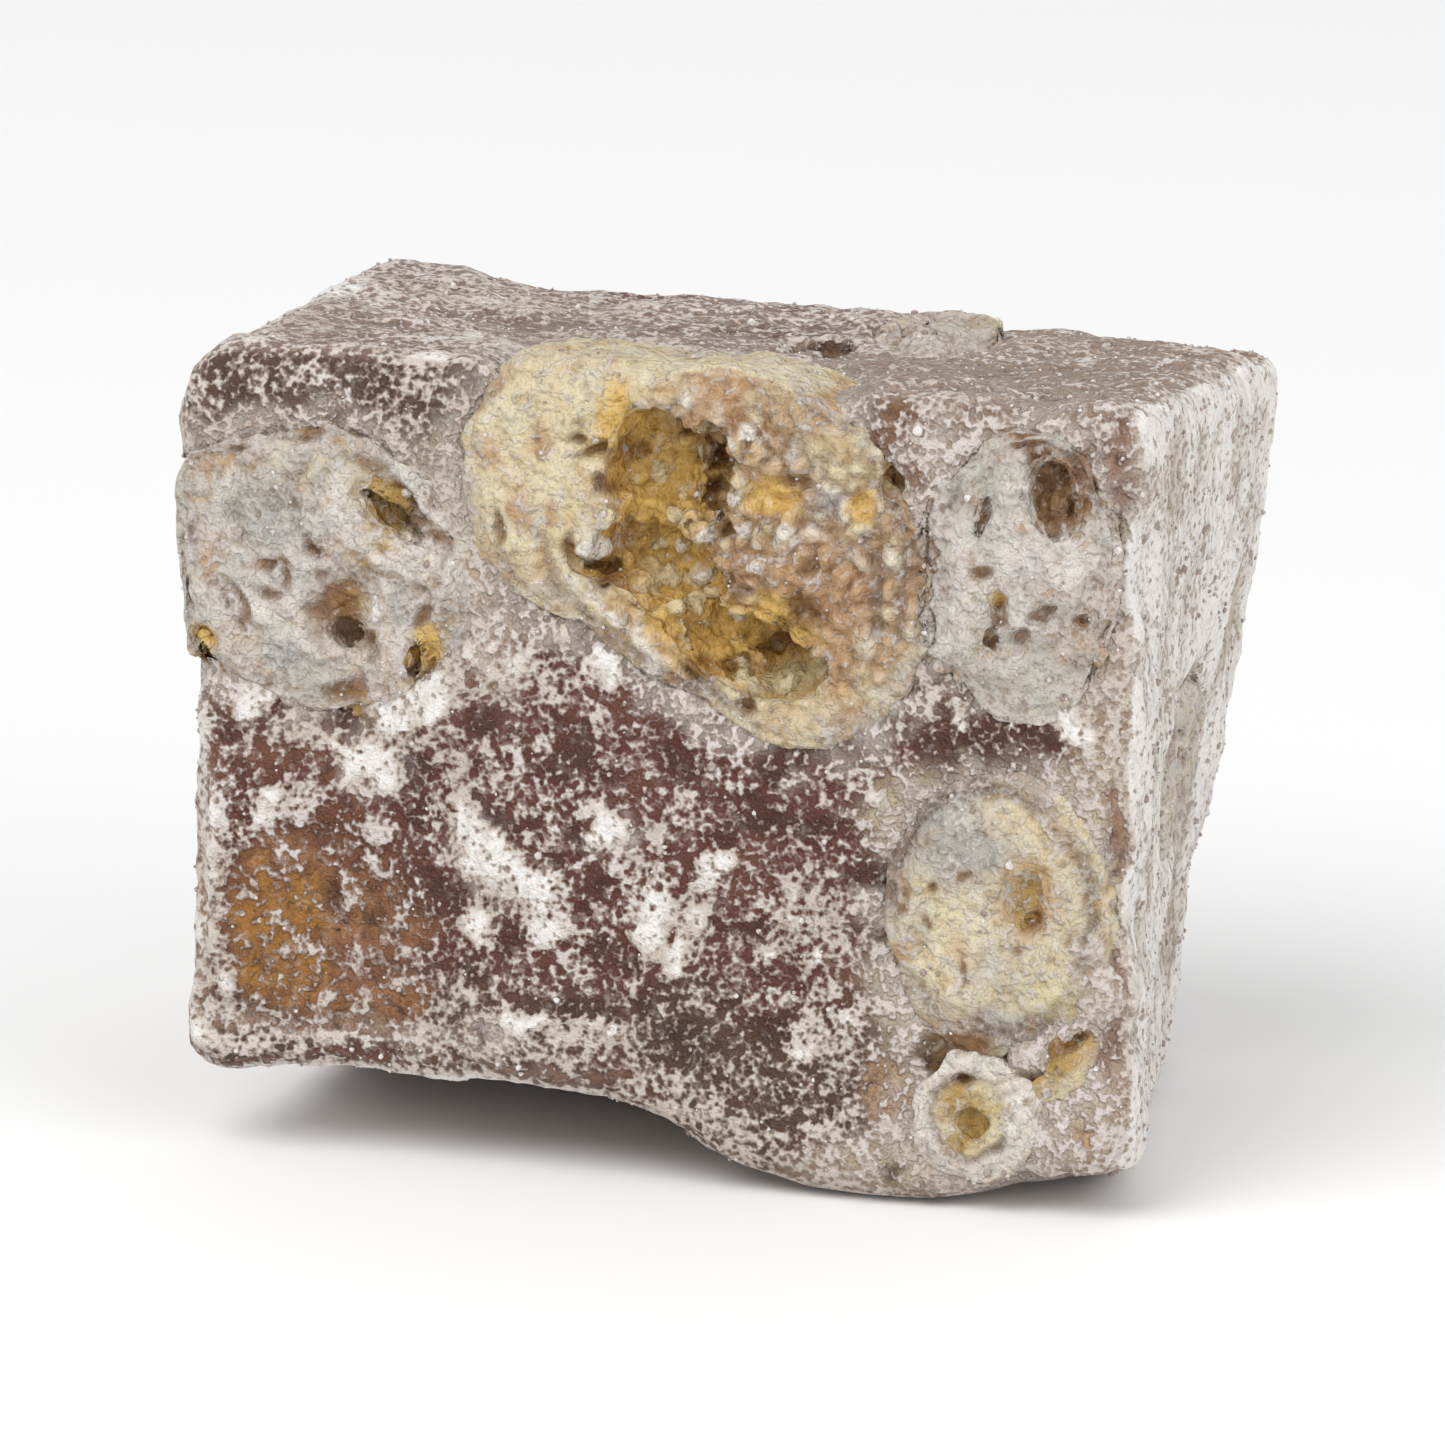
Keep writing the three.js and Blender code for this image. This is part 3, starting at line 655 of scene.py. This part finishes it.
def powdered_jelly():
    """Dark gel with near-black spots, a dull film where powder is thin, and thick pale powder."""
    finish = Finish("powdered_jelly")
    shade = finish.shade
    amount = shade.attribute("powder")
    wrinkles = shade.math("SINE", shade.attribute("ridge") * math.tau) * shade.attribute("wrinkled")
    cover = powder_cover(shade, amount + wrinkles * 0.22)
    gel = gritty(shade, shade.attribute("flesh", "Color"), 0.5)
    spots = shade.speckle(0.11) * 0.7 + shade.speckle(0.26, 1.0) * 0.6
    gel = shade.blend(spots.over(-0.15, 0.7) * 0.85 * (1 - amount), gel, NEAR_BLACK)
    dusted = shade.blend(cover.over(0.1, 0.65), gel, shade.blend(amount.over(0.45, 0.7), FILM, CRUST))
    thick = shade.blend(shade.speckle(2.0).over(-0.6, 0.6), POWDER, BEIGE_POWDER)
    thick = shade.blend(amount.over(0.72, 0.9), thick, WHITE_POWDER)
    thick = shade.blend((0 - wrinkles).over(0.1, 1) * 0.5, thick, LINE_BROWN)
    dusted = shade.blend(cover.over(0.55, 0.9), dusted, gritty(shade, thick, 0.4))
    finish.feed("Base Color", dusted)
    finish.feed("Roughness", cover * 0.5 + 0.32)
    finish.roughen(cover + wrinkles * 0.6 + shade.speckle(0.06, 2.0) * 0.3, 0.14)
    finish.let_light_in(0.6)
    return finish.material


def nut_flesh():
    """Gritty nut flesh with golden flecks, under a thin veil of powder."""
    finish = Finish("nut_flesh")
    shade = finish.shade
    cover = powder_cover(shade, shade.attribute("powder"))
    flesh = gritty(shade, shade.attribute("flesh", "Color"), 0.8)
    flesh = shade.blend(shade.speckle(0.35, 3.0).over(0.2, 1.3) * 0.5, flesh, DEEP_GOLD)
    veil = shade.blend(shade.speckle(1.2).over(-0.5, 0.5), POWDER, GREY_FLESH)
    finish.feed("Base Color", shade.blend(cover * 0.8, flesh, gritty(shade, veil, 0.5)))
    finish.feed("Roughness", cover * 0.3 + 0.5)
    finish.roughen(cover * 0.6 + shade.speckle(0.16, 3.0) * 0.7, 0.16)
    finish.let_light_in(0.5)
    return finish.material


def loose_powder():
    """Grains, each from dull to white."""
    finish = Finish("powder_grains")
    shade = finish.shade
    tone = shade.attribute("tone") + shade.speckle(0.05, 2.0) * 0.3
    finish.feed("Base Color", shade.blend(tone.over(0.3, 1), FILM, WHITE_POWDER))
    finish.feed("Roughness", tone * 0.2 + 0.6)
    finish.roughen(shade.speckle(0.05, 2.0), 0.03)
    finish.let_light_in(0.3)
    return finish.material


# The jelly

class Jelly(Piece):
    """The block, with what its form and its finish need to know about each point."""

    def __init__(self, nuts):
        super().__init__("jelly", JELLY_FACE, rounds=12, wander=0.34)
        self.off_rest = step(self.points[:, 2], *ABOVE_REST)
        self.front = self.turned(FRONT, 0.35, 0.7)
        self.near, way_to_nut = self.way_to(nuts, REACH)
        self.wall = 1 - step(self.near, GAP + 0.05, GAP + 0.25)
        self.rim = step(self.relief(60), 0.03, 0.14) * step(self.near, 1, 1.9)
        self.close_gaps(way_to_nut)
        self.fill_crack()
        self.survey()
        self.powder = self.powder_amount()
        self.keep("flesh", self.gel_colour())
        self.keep("powder", self.powder)
        self.wrinkle_skin()
        self.roughen()
        self.finish(powdered_jelly(), "jelly")

    def close_gaps(self, way_to_nut):
        """Draws the walls of the pockets to their nuts, and makes the rest of the skin lumpy."""
        beside_nut = 1 - step(self.near, GAP + 0.1, 1.1)
        closing = self.off_rest * beside_nut * (0.9 + 0.1 * noise(self.points, 0.8, 3))
        self.shift(way_to_nut * closing[:, None])
        lumps = 0.14 * noise(self.points, 2.6, 1) + 0.08 * noise(self.points, 1.3, 2)
        self.push(self.off_rest * (1 - closing) * lumps)
        self.closing = closing

    def fill_crack(self):
        """Raises the floor of the crack in the top, and leaves it rough."""
        x, y, z = (self.points - CRACK).T
        cracked = (1 - step(np.hypot(x, y), *ROUND_CRACK)) * (z > -CRACK_DEPTH)
        self.shift(np.outer(0.55 * cracked * np.clip(0.3 - z, 0, None), TOP))
        self.push(0.16 * cracked * rough(self.points, 0.9, 27))

    def survey(self):
        """Finds where the finished form looks up or right, and where it is tan, smeared, or creased for
        painted shade.
        """
        self.top, self.right = self.turned(TOP), self.turned(RIGHT)
        self.tan = step(self.points[:, 0] + 2 * noise(self.points, 3, 24), *TOP_TURNS_TAN)
        # The creases: their gel is painted near black and their powder thinned, as painted shade.
        self.shaded_crease = step(-self.relief(30), 0.03, 0.1) * (1 - self.closing)
        uneven = self.near + 0.6 * noise(self.points, 0.9, 7)
        self.smear = (1 - step(uneven, GAP + 0.2, GAP + 1.0)) * (1 - 0.4 * self.wall)
        self.unbroken = step(noise(self.points, 1.1, 23), -0.5, 0.3)
        sideways = step(np.abs(self.normals[:, 0]), 0.5, 0.8)
        upright = rough(self.wandering / np.array([1, 1, 4]), 1.7, 11)
        level = rough(self.wandering / np.array([4, 1, 1]), 1.7, 12)
        self.folds = sideways * upright + (1 - sideways) * (1 - self.front) * level

    def gel_colour(self):
        """The colour of the bare gel at each point."""
        p, front = self.points, self.front
        bare = front * self.marked(BARE_DARK)
        gel = np.tile(MAROON, (len(p), 1))
        low = step(OLIVE_BELOW - p[:, 2] + 2 * noise(p, 3, 20), -2, 2)
        gel = tinted(gel, OLIVE_DARK, 0.7 * np.maximum(low, front * step(p[:, 2], *UNDER_TOP_EDGE)))
        gel = tinted(gel, RED_BROWN, 0.5 * step(noise(p, 2.2, 21), 0, 0.7))
        gel = tinted(gel, SKIN, 0.9 * (1 - front) * step(rough(p, 3.5, 22), -1, -0.1))
        gel = tinted(gel, LINE_BROWN, 0.8 * self.top * self.tan)
        gel = tinted(gel, LINE_BROWN, 0.95 * self.right * step(rough(p, 2.5, 29), -1.4, -0.7))
        gel = tinted(gel, CRUST, 0.5 * self.right)
        gel = tinted(gel, LINE_BROWN, 0.9 * front * self.marked(PALE_CRUST) * (1 - bare))
        gel = self.painted(gel, ((CREAM, CREAM_CRUST, 0.7, 0.6),))
        patchy = step(rough(p, 0.7, 25), -0.2, 0.4)
        gel = tinted(gel, BLUE_POWDER, 0.5 * patchy * front * self.marked(PALE_BLUE_CRUST, 0.6))
        gel = self.painted(gel, ((HONEY, HONEY_GEL, 1, 0.35), (AMBER, AMBER_GEL, 1, 0.35)))
        blotched = front * self.marked(AMBER_GEL + HONEY_GEL) * step(rough(p, 0.9, 28), 0, 0.6)
        gel = tinted(gel, RED_BROWN, 0.85 * blotched)
        gel = self.painted(gel, ((RED_BROWN, RED_STREAKS, 1, 0.35), (TAN, TAN_JELLY, 0.7, 0.6)))
        gel = tinted(gel, GREY_FLESH, 0.7 * self.smear * (1 - bare))
        gel = tinted(gel, NEAR_BLACK, 0.5 * bare)
        # Painted shade: the gel goes near black in the creases.
        gel = tinted(gel, NEAR_BLACK, 0.7 * self.shaded_crease)
        gel = self.painted(gel, ((TAN, TAN_MARKS, 0.6, 0.6), (BROWN, BROWN_MARKS, 0.8, 0.6)))
        gel = tinted(gel, RUST, 0.9 * self.unbroken * front * traced(self.wandering, BROWN_TRACES, 0.4))
        return self.painted(gel, ((DARK_GOLD, CREVICES, 1, 0.35),))

    def powder_amount(self):
        """How much powder lies at each point of the jelly, from 0 to 1."""
        p = self.points
        powder = 0.5 + 0.34 * self.right + 0.06 * self.top + 0.14 * rough(p, 3.0, 4)
        powder = powder + 0.22 * self.folds + 0.2 * self.rim - 0.18 * self.top * self.tan
        # The creases also lose powder, which darkens them as painted shade.
        powder = powder + (self.powder_on_front() - powder) * self.front - 0.3 * self.shaded_crease
        forward, left, up = BARE_CORNER
        corner = step(-p[:, 1], *forward) * step(-p[:, 0], *left) * step(p[:, 2], *up)
        powder = powder - 0.2 * corner * step(rough(p, 2.5, 9), -0.8, 0)
        return np.clip(powder * (1 - self.front * self.marked(CREVICES)), 0, 1)

    def powder_on_front(self):
        """How much powder the marks give each point, as though all of them were on the front."""
        p = self.points
        powder = 0.4 + 0.09 * rough(p, 1.4, 5) + 0.12 * self.smear + 0.1 * self.rim
        amounts = (
            (PALE_CRUST, 0.68, 0.7), (LIGHT_POWDER, 0.6, 0.6), (BARE_DARK, 0.1, 0.6),
            (HEAVY_POWDER, 0.94, 0.3), (CRUST_MARKS, 0.88, 0.7), (RED_STREAKS, 0.16, 0.6),
        )
        ragged = 0.85 + 0.55 * rough(p, 0.9, 8)
        for marks, amount, softness in amounts:
            share = np.clip(self.marked(marks, softness) * ragged, 0, 1)
            powder = powder + (amount - powder) * share
        powder = powder + (0.3 + 0.55 * rough(p, 0.7, 6) - powder) * self.marked(HONEY_GEL + TAN_JELLY)
        powder = powder + (0.2 + 0.5 * rough(p, 0.7, 6) - powder) * self.marked(AMBER_GEL)
        powder = powder - 0.25 * self.marked(BROWN_MARKS, 0.6)
        powder = powder + 0.2 * self.unbroken * traced(self.wandering, PALE_TRACES, 0.25)
        return powder - 0.32 * self.unbroken * traced(self.wandering, BROWN_TRACES, 0.4)

    def wrinkle_skin(self):
        """Keeps how far across the fine ridges of the skin each point is, and how strong they are."""
        p = self.points
        warp = 2.4 * noise(p, 7, 60) + 0.5 * noise(p, 2.2, 61)
        self.keep("ridge", (p[:, 1] + 0.35 * p[:, 2] + warp) / RIDGE)
        strength = 0.2 + 0.65 * step(noise(p, 4, 62), -0.5, 0.4)
        level = step(np.abs(self.normals[:, 2]), 0.5, 0.8)
        calm = 0.75 * self.front + 0.55 * level + 0.4 * self.right
        self.keep("wrinkled", strength * np.clip(1 - calm, 0, 1) * step(self.near, 0.4, 1))

    def roughen(self):
        """Raises the folds, the thick powder, the grain and the fine lines of the skin."""
        grain = 0.06 * noise(self.points, 0.7, 6) + 0.05 * noise(self.points, 0.5, 26)
        lines = traced(self.wandering, PALE_TRACES, 0.35) - traced(self.wandering, BROWN_TRACES, 0.35)
        raised = 0.09 * self.folds + 0.12 * step(self.powder, 0.3, 0.95) + grain * (1 - self.wall)
        self.push(self.off_rest * (raised + 0.08 * self.front * lines))


# The nuts

# Which way each cut face looks, how creamy and how powdery it is, how high its crags and its rings are,
# what share of its pits is filled, how wide a band of jelly and powder smothers its edge, and how deep
# its brown specks are.
Look = namedtuple("Look", "outward cream powder crags rings filled smothered pitted")
NUTS = {
    "nut_middle": Look(FRONT, 0.95, 0.18, 0.1, 0.05, 0.25, 0.6, 0.3),
    "nut_upper_left": Look(FRONT, 0.15, 0.46, 0.1, 0.06, 0.8, 0.9, 0.22),
    "nut_upper_right": Look(FRONT, 0.1, 0.66, 0.16, 0.06, 1.0, 1.8, 0.3),
    "nut_lower_right": Look(FRONT, 0.75, 0.26, 0.08, 0.06, 0.6, 1.2, 0.1),
    "nut_small_low": Look(FRONT, 1.0, 0.2, 0.06, 0.06, 0.9, 0.6, 0.3),
    "nut_sliver_low": Look(FRONT, 1.0, 0.05, 0.08, 0.0, 0.4, 0.5, 0.3),
    "nut_top": Look(TOP, 0.8, 0.55, 0.12, 0.03, 0.95, 1.5, 0.3),
    "nut_right_side": Look(RIGHT, 0.7, 0.6, 0.12, 0.06, 0.95, 1.5, 0.3),
    "nut_left_side": Look(LEFT, 0.5, 0.4, 0.14, 0.1, 0.95, 1.5, 0.3),
    "nut_back_left": Look(BACK, 0.9, 0.3, 0.18, 0.08, 0.95, 1.5, 0.3),
    "nut_back_right": Look(BACK, 0.4, 0.4, 0.14, 0.1, 0.95, 1.5, 0.3),
}
CRUMBLY = "nut_middle"  # has granules, crumbs and standing grains
# Nuts whose hollows are golden, their own colour, and deep gold further down, which is painted shade.
GILDED_AND_SHADED = ("nut_middle", "nut_upper_left", "nut_small_low", "nut_sliver_low")  # golden in their hollows
LIFTS = {"nut_top": 0.28}  # how much further out of the jelly a nut stands


class Nut(Piece):
    """A cut nut, with what its form and its finish need to know about each point."""

    def __init__(self, node, material, jelly_tree):
        super().__init__(node, NUT_FACE, rounds=6, wander=0.2)
        self.look = NUTS[node]
        self.outward = np.array(self.look.outward, float)
        self.seen = self.look.outward == FRONT
        self.measure(jelly_tree)
        self.close_gaps()
        self.fill_pits()
        self.raise_crags()
        self.press_marks()
        self.trim_edge()
        flesh = self.paint_front(self.paint_granules(self.flesh_colour()))
        flesh = self.paint_crumbs(flesh)
        powder = self.powder_amount()
        if node == CRUMBLY:
            rise = self.raise_grains()
            flesh = tinted(flesh, WHITE, 0.8 * self.front * step(rise, 0.05, 0.15))
        self.keep("flesh", flesh)
        self.keep("powder", powder)
        self.powder = powder * step(self.near, GAP, GAP + 0.3)
        self.finish(material, "nut")

    def measure(self, jelly_tree):
        """Finds the cut face, its hollows, its rings and its edge."""
        look, p = self.look, self.points
        self.depth = self.depth_below_face()
        self.facing = self.turned(self.outward, 0.3, 0.8)
        self.near = self.way_to(jelly_tree, REACH)[0]
        uneven = self.near + 0.6 * look.smothered * rough(p, 1.4, 18, 2)
        self.edge = 1 - step(uneven, GAP + 0.05, GAP + look.smothered)
        self.furrow = np.zeros(len(p))  # between the folds of an unseen kernel
        if not self.seen:
            self.furrow = 1 - step(np.abs(rough(self.wandering, 3.4, 17, 2)), 0.01, 0.22)
        away = p - p.mean(0)
        away -= np.outer(away @ self.outward, self.outward)
        self.from_middle = np.linalg.norm(away, axis=1)
        self.from_middle = self.from_middle / self.from_middle.max()
        rings = np.sin(self.from_middle * 22 + 3.2 * rough(p, 2.5, 12))
        self.ringed = rings * step(self.from_middle, 0.15, 0.4)
        outer = step(np.abs(p[:, 0]), *NEAR_SIDES) + step(p[:, 2], *NEAR_TOP)
        hollow = step(self.depth, 0.3, 1.2) * (1 - outer) * (1 - step(self.from_middle, 0.8, 0.92))
        not_deep = 1 - step(self.depth, 3.8, 4.8)
        self.hollow = hollow * np.maximum(not_deep, self.turned(self.outward, 0, 0.3))

    def depth_below_face(self):
        """How far each point lies below the plane of the nut's cut face."""
        facing = self.normals @ self.outward > 0.9
        height = self.points @ self.outward
        high = facing & (height > np.quantile(height[facing], 0.5) - 0.5)
        flat = np.column_stack([self.points, np.ones(len(self.points))])
        axis = np.argmax(np.abs(self.outward))
        flat = flat[:, [k for k in range(4) if k != axis]]
        plane = np.linalg.lstsq(flat[high], height[high], rcond=None)[0]
        return flat @ plane - height

    def close_gaps(self):
        """Draws the nut towards its neighbours, and swells the part that the jelly hides."""
        neighbours = tree_of([name for name in NUTS if name != self.node])
        apart, way = self.way_to(neighbours, 1.2)
        self.shift(way * (0.45 * (1 - step(apart, 0.8, 1.1)))[:, None])
        self.push((1 - self.facing) * (0.14 + 0.1 * noise(self.points, 0.9, 19)))

    def fill_pits(self):
        """Raises the floors of the pits and hollows by the share that the nut's look gives."""
        slant = self.normals @ self.outward
        inside = 1 - step(self.from_middle, 0.72, 0.88)
        opened = np.maximum(step(slant, -0.1, 0.3), inside * step(slant, -0.6, -0.2))
        sunk = np.clip(self.depth - 0.3, 0, None) * (self.depth < 4.5) * opened
        self.shift(np.outer(self.look.filled * sunk, self.outward))

    def raise_crags(self):
        """Makes the flesh craggy and the hollows granular."""
        p = self.points
        on_top = self.turned(TOP, 0.6, 0.85) * step(p[:, 2], *OVER_TOP_EDGE)
        self.front = step(-p[:, 1], *IN_FRONT) * (1 - on_top)
        crumbles = self.node == CRUMBLY
        self.granular = self.front * self.marked(GRANULAR, 0.5) if crumbles else self.hollow * self.seen
        self.lump, self.lump_kind = granules(p, 0.75, 14)
        self.crumb, self.crumb_kind = granules(p, 0.5, 15)
        self.crumbly = self.hollow * crumbles * step(noise(p, 1.5, 36), -0.6, 0)
        height = 0.25 + 0.15 * noise(p, 1.6, 29)
        crags = self.look.crags * rough(p, 1.2, 13)
        crags = crags + height * self.granular * (step(self.lump, 0, 0.5) - 0.6)
        crumbs = 0.1 * (step(self.crumb, 0, 0.4) - 0.6) + 0.16 * step(self.crumb_kind, 0.82, 0.86)
        crags = crags + self.crumbly * crumbs + self.look.rings * self.ringed * self.facing
        self.push(crags + 0.05 * noise(p, 0.45, 27) - 0.2 * self.furrow)

    def press_marks(self):
        """Presses the specks, pits and lines into the front, and raises the white ones."""
        pits = self.look.pitted * self.marked(BROWN_MARKS, 0.6) + 0.35 * self.marked(GOLD_MARKS, 0.6)
        pits = pits + 0.1 * self.marked(OLIVE_MARKS)
        unbroken = step(noise(self.points, 2.6, 41), -0.5, 0.2)
        arcs = 0.1 * lined(self.wandering, ARCS, 0.35) - 0.12 * lined(self.wandering, PALE_ARCS, 0.45)
        lines = unbroken * arcs - 0.08 * self.marked(WHITE_MARKS) + 0.3 * self.marked(CREVICES)
        lines = lines + 0.12 * traced(self.wandering, NUT_TRACES, 0.35)
        self.press(self.front * self.facing * (pits + lines))

    def press(self, depth):
        """Moves each point straight back from the front."""
        self.shift(np.outer(depth, BACK))

    def trim_edge(self):
        """Lifts the nut, sinks its smothered edge, and flattens what stands past the left edge."""
        lift = LIFTS.get(self.node, 0)
        self.shift(np.outer(lift - 0.16 * self.edge * self.facing, self.outward))
        beyond = np.clip(LEFT_EDGE - self.points[:, 0], 0, None)
        self.shift(np.outer(0.6 * beyond, RIGHT))

    def raise_grains(self):
        """Raises the single grains that stand on the nut, and says how high each point of them is."""
        rise = np.zeros(len(self.points))
        for x, z, radius in STANDING_GRAINS:
            off = np.hypot(self.wandering[:, 0] - x, self.wandering[:, 2] - z) / radius
            rise = np.maximum(rise, radius * np.sqrt(np.clip(1 - off ** 2, 0, 1)))
        self.press(-self.front * self.facing * rise)
        return rise

    def flesh_colour(self):
        """The colour of the nut's flesh at each point, before its marks, with painted shade deep in its
        hollows.
        """
        look, p = self.look, self.points
        hollow = self.hollow * (self.node in GILDED_AND_SHADED)
        cream = look.cream + 0.5 * rough(p, 2.2, 30)
        flesh = tinted(np.tile(GREY_FLESH, (len(p), 1)), CREAM, cream)
        flesh = tinted(flesh, TAN, 0.5 * step(rough(p, 1.4, 31), 0.1, 0.9))
        flesh = tinted(flesh, DEEP_GOLD, 0.35 * step(-self.ringed, 0.3, 1) * look.rings / 0.1)
        # The hollows turn gold, the nut's own colour there, and deep gold further down: painted shade.
        flesh = tinted(flesh, GOLD, step(hollow, 0.1, 0.5))
        flesh = tinted(flesh, DEEP_GOLD, 0.9 * step(hollow + 0.3 * rough(p, 0.9, 32), 0.6, 1.1))
        flesh = tinted(flesh, LINE_BROWN, 0.6 * self.edge * step(noise(p, 2.5, 33), -0.1, 0.4))
        flesh = tinted(flesh, BROWN, 0.75 * self.furrow)
        return tinted(flesh, FILM, 0.7 * self.edge * step(noise(p, 1.8, 34), -0.1, 0.3))

    def paint_granules(self, flesh):
        """Gives each granule its own colour, with brown painted shade between them."""
        kind = self.lump_kind
        flesh = tinted(flesh, CREAM, 0.5 * self.granular * (1 - step(kind, 0.2, 0.3)))
        tan = 0.75 * self.granular * step(kind, 0.35, 0.5)
        flesh = tinted(flesh, TAN, tan * (1 - step(kind, 0.75, 0.85)))
        flesh = tinted(flesh, WHITE, 0.6 * self.granular * step(kind, 0.8, 0.9))
        # Painted shade: brown where the granules dip between one another.
        return tinted(flesh, BROWN, 0.75 * self.granular * (1 - step(self.lump, 0.04, 0.4)))

    def paint_front(self, flesh):
        """Adds the marks that show on the front's nuts."""
        flesh = self.painted(flesh, (
            (BLUE_GREY, GREY_MARKS, 0.8, 0.6), (YELLOW, YELLOW_MARKS, 0.7, 0.6),
            (TAN, TAN_MARKS, 0.75, 0.6), (GOLD, GOLD_MARKS, 0.9, 0.5),
            (OLIVE_GOLD, OLIVE_MARKS, 0.9, 0.5),
        ))
        unbroken = self.front * step(noise(self.points, 2.6, 41), -0.5, 0.2)
        flesh = tinted(flesh, SEAM, 0.8 * unbroken * lined(self.wandering, ARCS, 0.3))
        flesh = tinted(flesh, SEAM, 0.6 * self.front * traced(self.wandering, NUT_TRACES, 0.3))
        flesh = tinted(flesh, WHITE, 0.75 * unbroken * lined(self.wandering, PALE_ARCS, 0.45))
        return self.painted(flesh, (
            (BROWN, CREVICES, 0.9, 0.35), (BROWN, BROWN_MARKS, 0.85, 0.6),
            (WHITE, WHITE_MARKS, 0.8, 0.5),
        ))

    def paint_crumbs(self, flesh):
        """Gives the crumbs in the hollow their own colours, with a little brown painted shade between
        them.
        """
        # Painted shade: a little brown where the crumbs dip between one another.
        flesh = tinted(flesh, BROWN, 0.25 * self.crumbly * (1 - step(self.crumb, 0.02, 0.25)))
        flesh = tinted(flesh, CREAM, 0.8 * self.crumbly * step(self.crumb_kind, 0.8, 0.86))
        return tinted(flesh, DEEP_GOLD, 0.3 * self.crumbly * (1 - step(self.crumb_kind, 0.25, 0.3)))

    def powder_amount(self):
        """How much powder lies at each point of the nut."""
        look = self.look
        at_edge = 0.1 if self.seen else 0.25
        powder = look.powder - 0.3 * self.hollow + 0.16 * rough(self.points, 1.5, 16)
        powder = powder + at_edge * self.edge
        clear = (0.1 + 0.8 * look.powder) * self.front
        powder = powder - clear * self.marked(BROWN_MARKS + GOLD_MARKS, 0.5)
        return powder - 0.7 * self.front * self.marked(CREVICES, 0.5)


# The loose powder

def unit_ball():
    """The corners and the faces of a coarse ball with a radius of 1."""
    ball = bmesh.new()
    bmesh.ops.create_icosphere(ball, subdivisions=1, radius=1)
    corners = np.array([vertex.co for vertex in ball.verts])
    faces = np.array([[vertex.index for vertex in face.verts] for face in ball.faces])
    ball.free()
    return corners, faces


def chosen_places(pieces):
    """Points of the pieces and their normals, drawn where the powder is thick and clumped."""
    points = np.vstack([piece.points for piece in pieces])
    normals = np.vstack([piece.normals for piece in pieces])
    room = np.concatenate([np.full(len(piece.points), piece.face ** 2) for piece in pieces])
    powder = np.concatenate([piece.powder for piece in pieces])
    clumped = step(noise(points, 1.2, 50), -0.3, 0.6)
    chance = room * (0.15 + clumped * np.clip(powder, 0, 1)) * (points[:, 2] > LOWEST_GRAIN)
    chosen = RANDOM.choice(len(points), GRAINS, replace=False, p=chance / chance.sum())
    return points[chosen], normals[chosen]


def scatter_grains(pieces):
    """Single grains and crumbs of powder that lie on the jelly and the nuts."""
    points, normals = chosen_places(pieces)
    radius = GRAIN_RADIUS * np.exp(0.35 * RANDOM.normal(size=GRAINS))
    corners, faces = unit_ball()
    lumps = corners * (1 + 0.5 * (RANDOM.random((GRAINS, len(corners), 1)) - 0.5))
    middles = points + normals * radius[:, None] * 0.1
    places = (middles[:, None] + lumps * radius[:, None, None]).reshape(-1, 3) * MM
    all_faces = (faces + len(corners) * np.arange(GRAINS)[:, None, None]).reshape(-1, 3)
    mesh = bpy.data.meshes.new("powder_grains")
    mesh.from_pydata(places.tolist(), [], all_faces.tolist())
    tone = mesh.attributes.new("tone", "FLOAT", "POINT")
    tone.data.foreach_set("value", np.repeat(RANDOM.random(GRAINS), len(corners)))
    mesh.materials.append(loose_powder())
    mesh.shade_smooth()
    grains = add_object("powder_grains", mesh)
    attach(grains, "root")


# The room

def aim(thing, towards, distance, target):
    """Puts a light or the camera at a distance along a direction from the target, looking at it."""
    direction = Vector(towards).normalized()
    thing.location = (Vector(target) + direction * distance) * MM
    thing.rotation_euler = direction.to_track_quat("Z", "Y").to_euler()


def add_camera():
    camera = add_object("camera", bpy.data.cameras.new("camera"))
    camera.data.sensor_width = SENSOR
    camera.data.lens = SENSOR * VIEW_DISTANCE / VIEW_WIDTH
    sin_a, cos_a = math.sin(AZIMUTH), math.cos(AZIMUTH)
    sin_e, cos_e = math.sin(ELEVATION), math.cos(ELEVATION)
    right = Vector((cos_a, sin_a, 0))
    up = Vector((-sin_a * sin_e, cos_a * sin_e, cos_e))
    back = Vector((sin_a * cos_e, -cos_a * cos_e, sin_e))
    aim(camera, back, VIEW_DISTANCE, right * VIEW_MIDDLE[0] + up * VIEW_MIDDLE[1])
    camera.data.clip_start = 10 * MM
    bpy.context.scene.camera = camera


def add_light(name, towards, distance, size, watts):
    light = add_object(name, bpy.data.lights.new(name, "AREA"))
    light.data.shape = "DISK"
    light.data.size = size * MM
    light.data.energy = watts
    aim(light, towards, distance, LIT_POINT)


def add_floor():
    mesh = bpy.data.meshes.new("floor")
    half = FLOOR_WIDTH / 2 * MM
    corners = [(-half, -half, 0), (half, -half, 0), (half, half, 0), (-half, half, 0)]
    mesh.from_pydata(corners, [], [(0, 1, 2, 3)])
    finish = Finish("pale_floor")
    finish.fix("Base Color", (0.9, 0.9, 0.9, 1))
    finish.fix("Roughness", 0.9)
    mesh.materials.append(finish.material)
    add_object("floor", mesh)


def add_world():
    world = bpy.data.worlds.new("pale_room")
    world.use_nodes = True
    background = world.node_tree.nodes["Background"]
    background.inputs["Color"].default_value = (1, 1, 1, 1)
    background.inputs["Strength"].default_value = ROOM_LIGHT
    scene = bpy.context.scene
    scene.world = world
    scene.view_settings.view_transform = "Standard"
    scene.view_settings.look = "None"


pieces = [Jelly(tree_of(NUTS))]
flesh = nut_flesh()
jelly_tree = tree_of(["jelly"])
pieces += [Nut(node, flesh, jelly_tree) for node in NUTS]
scatter_grains(pieces)
add_floor()
add_camera()
for name, light in LIGHTS.items():
    add_light(name, *light)
add_world()
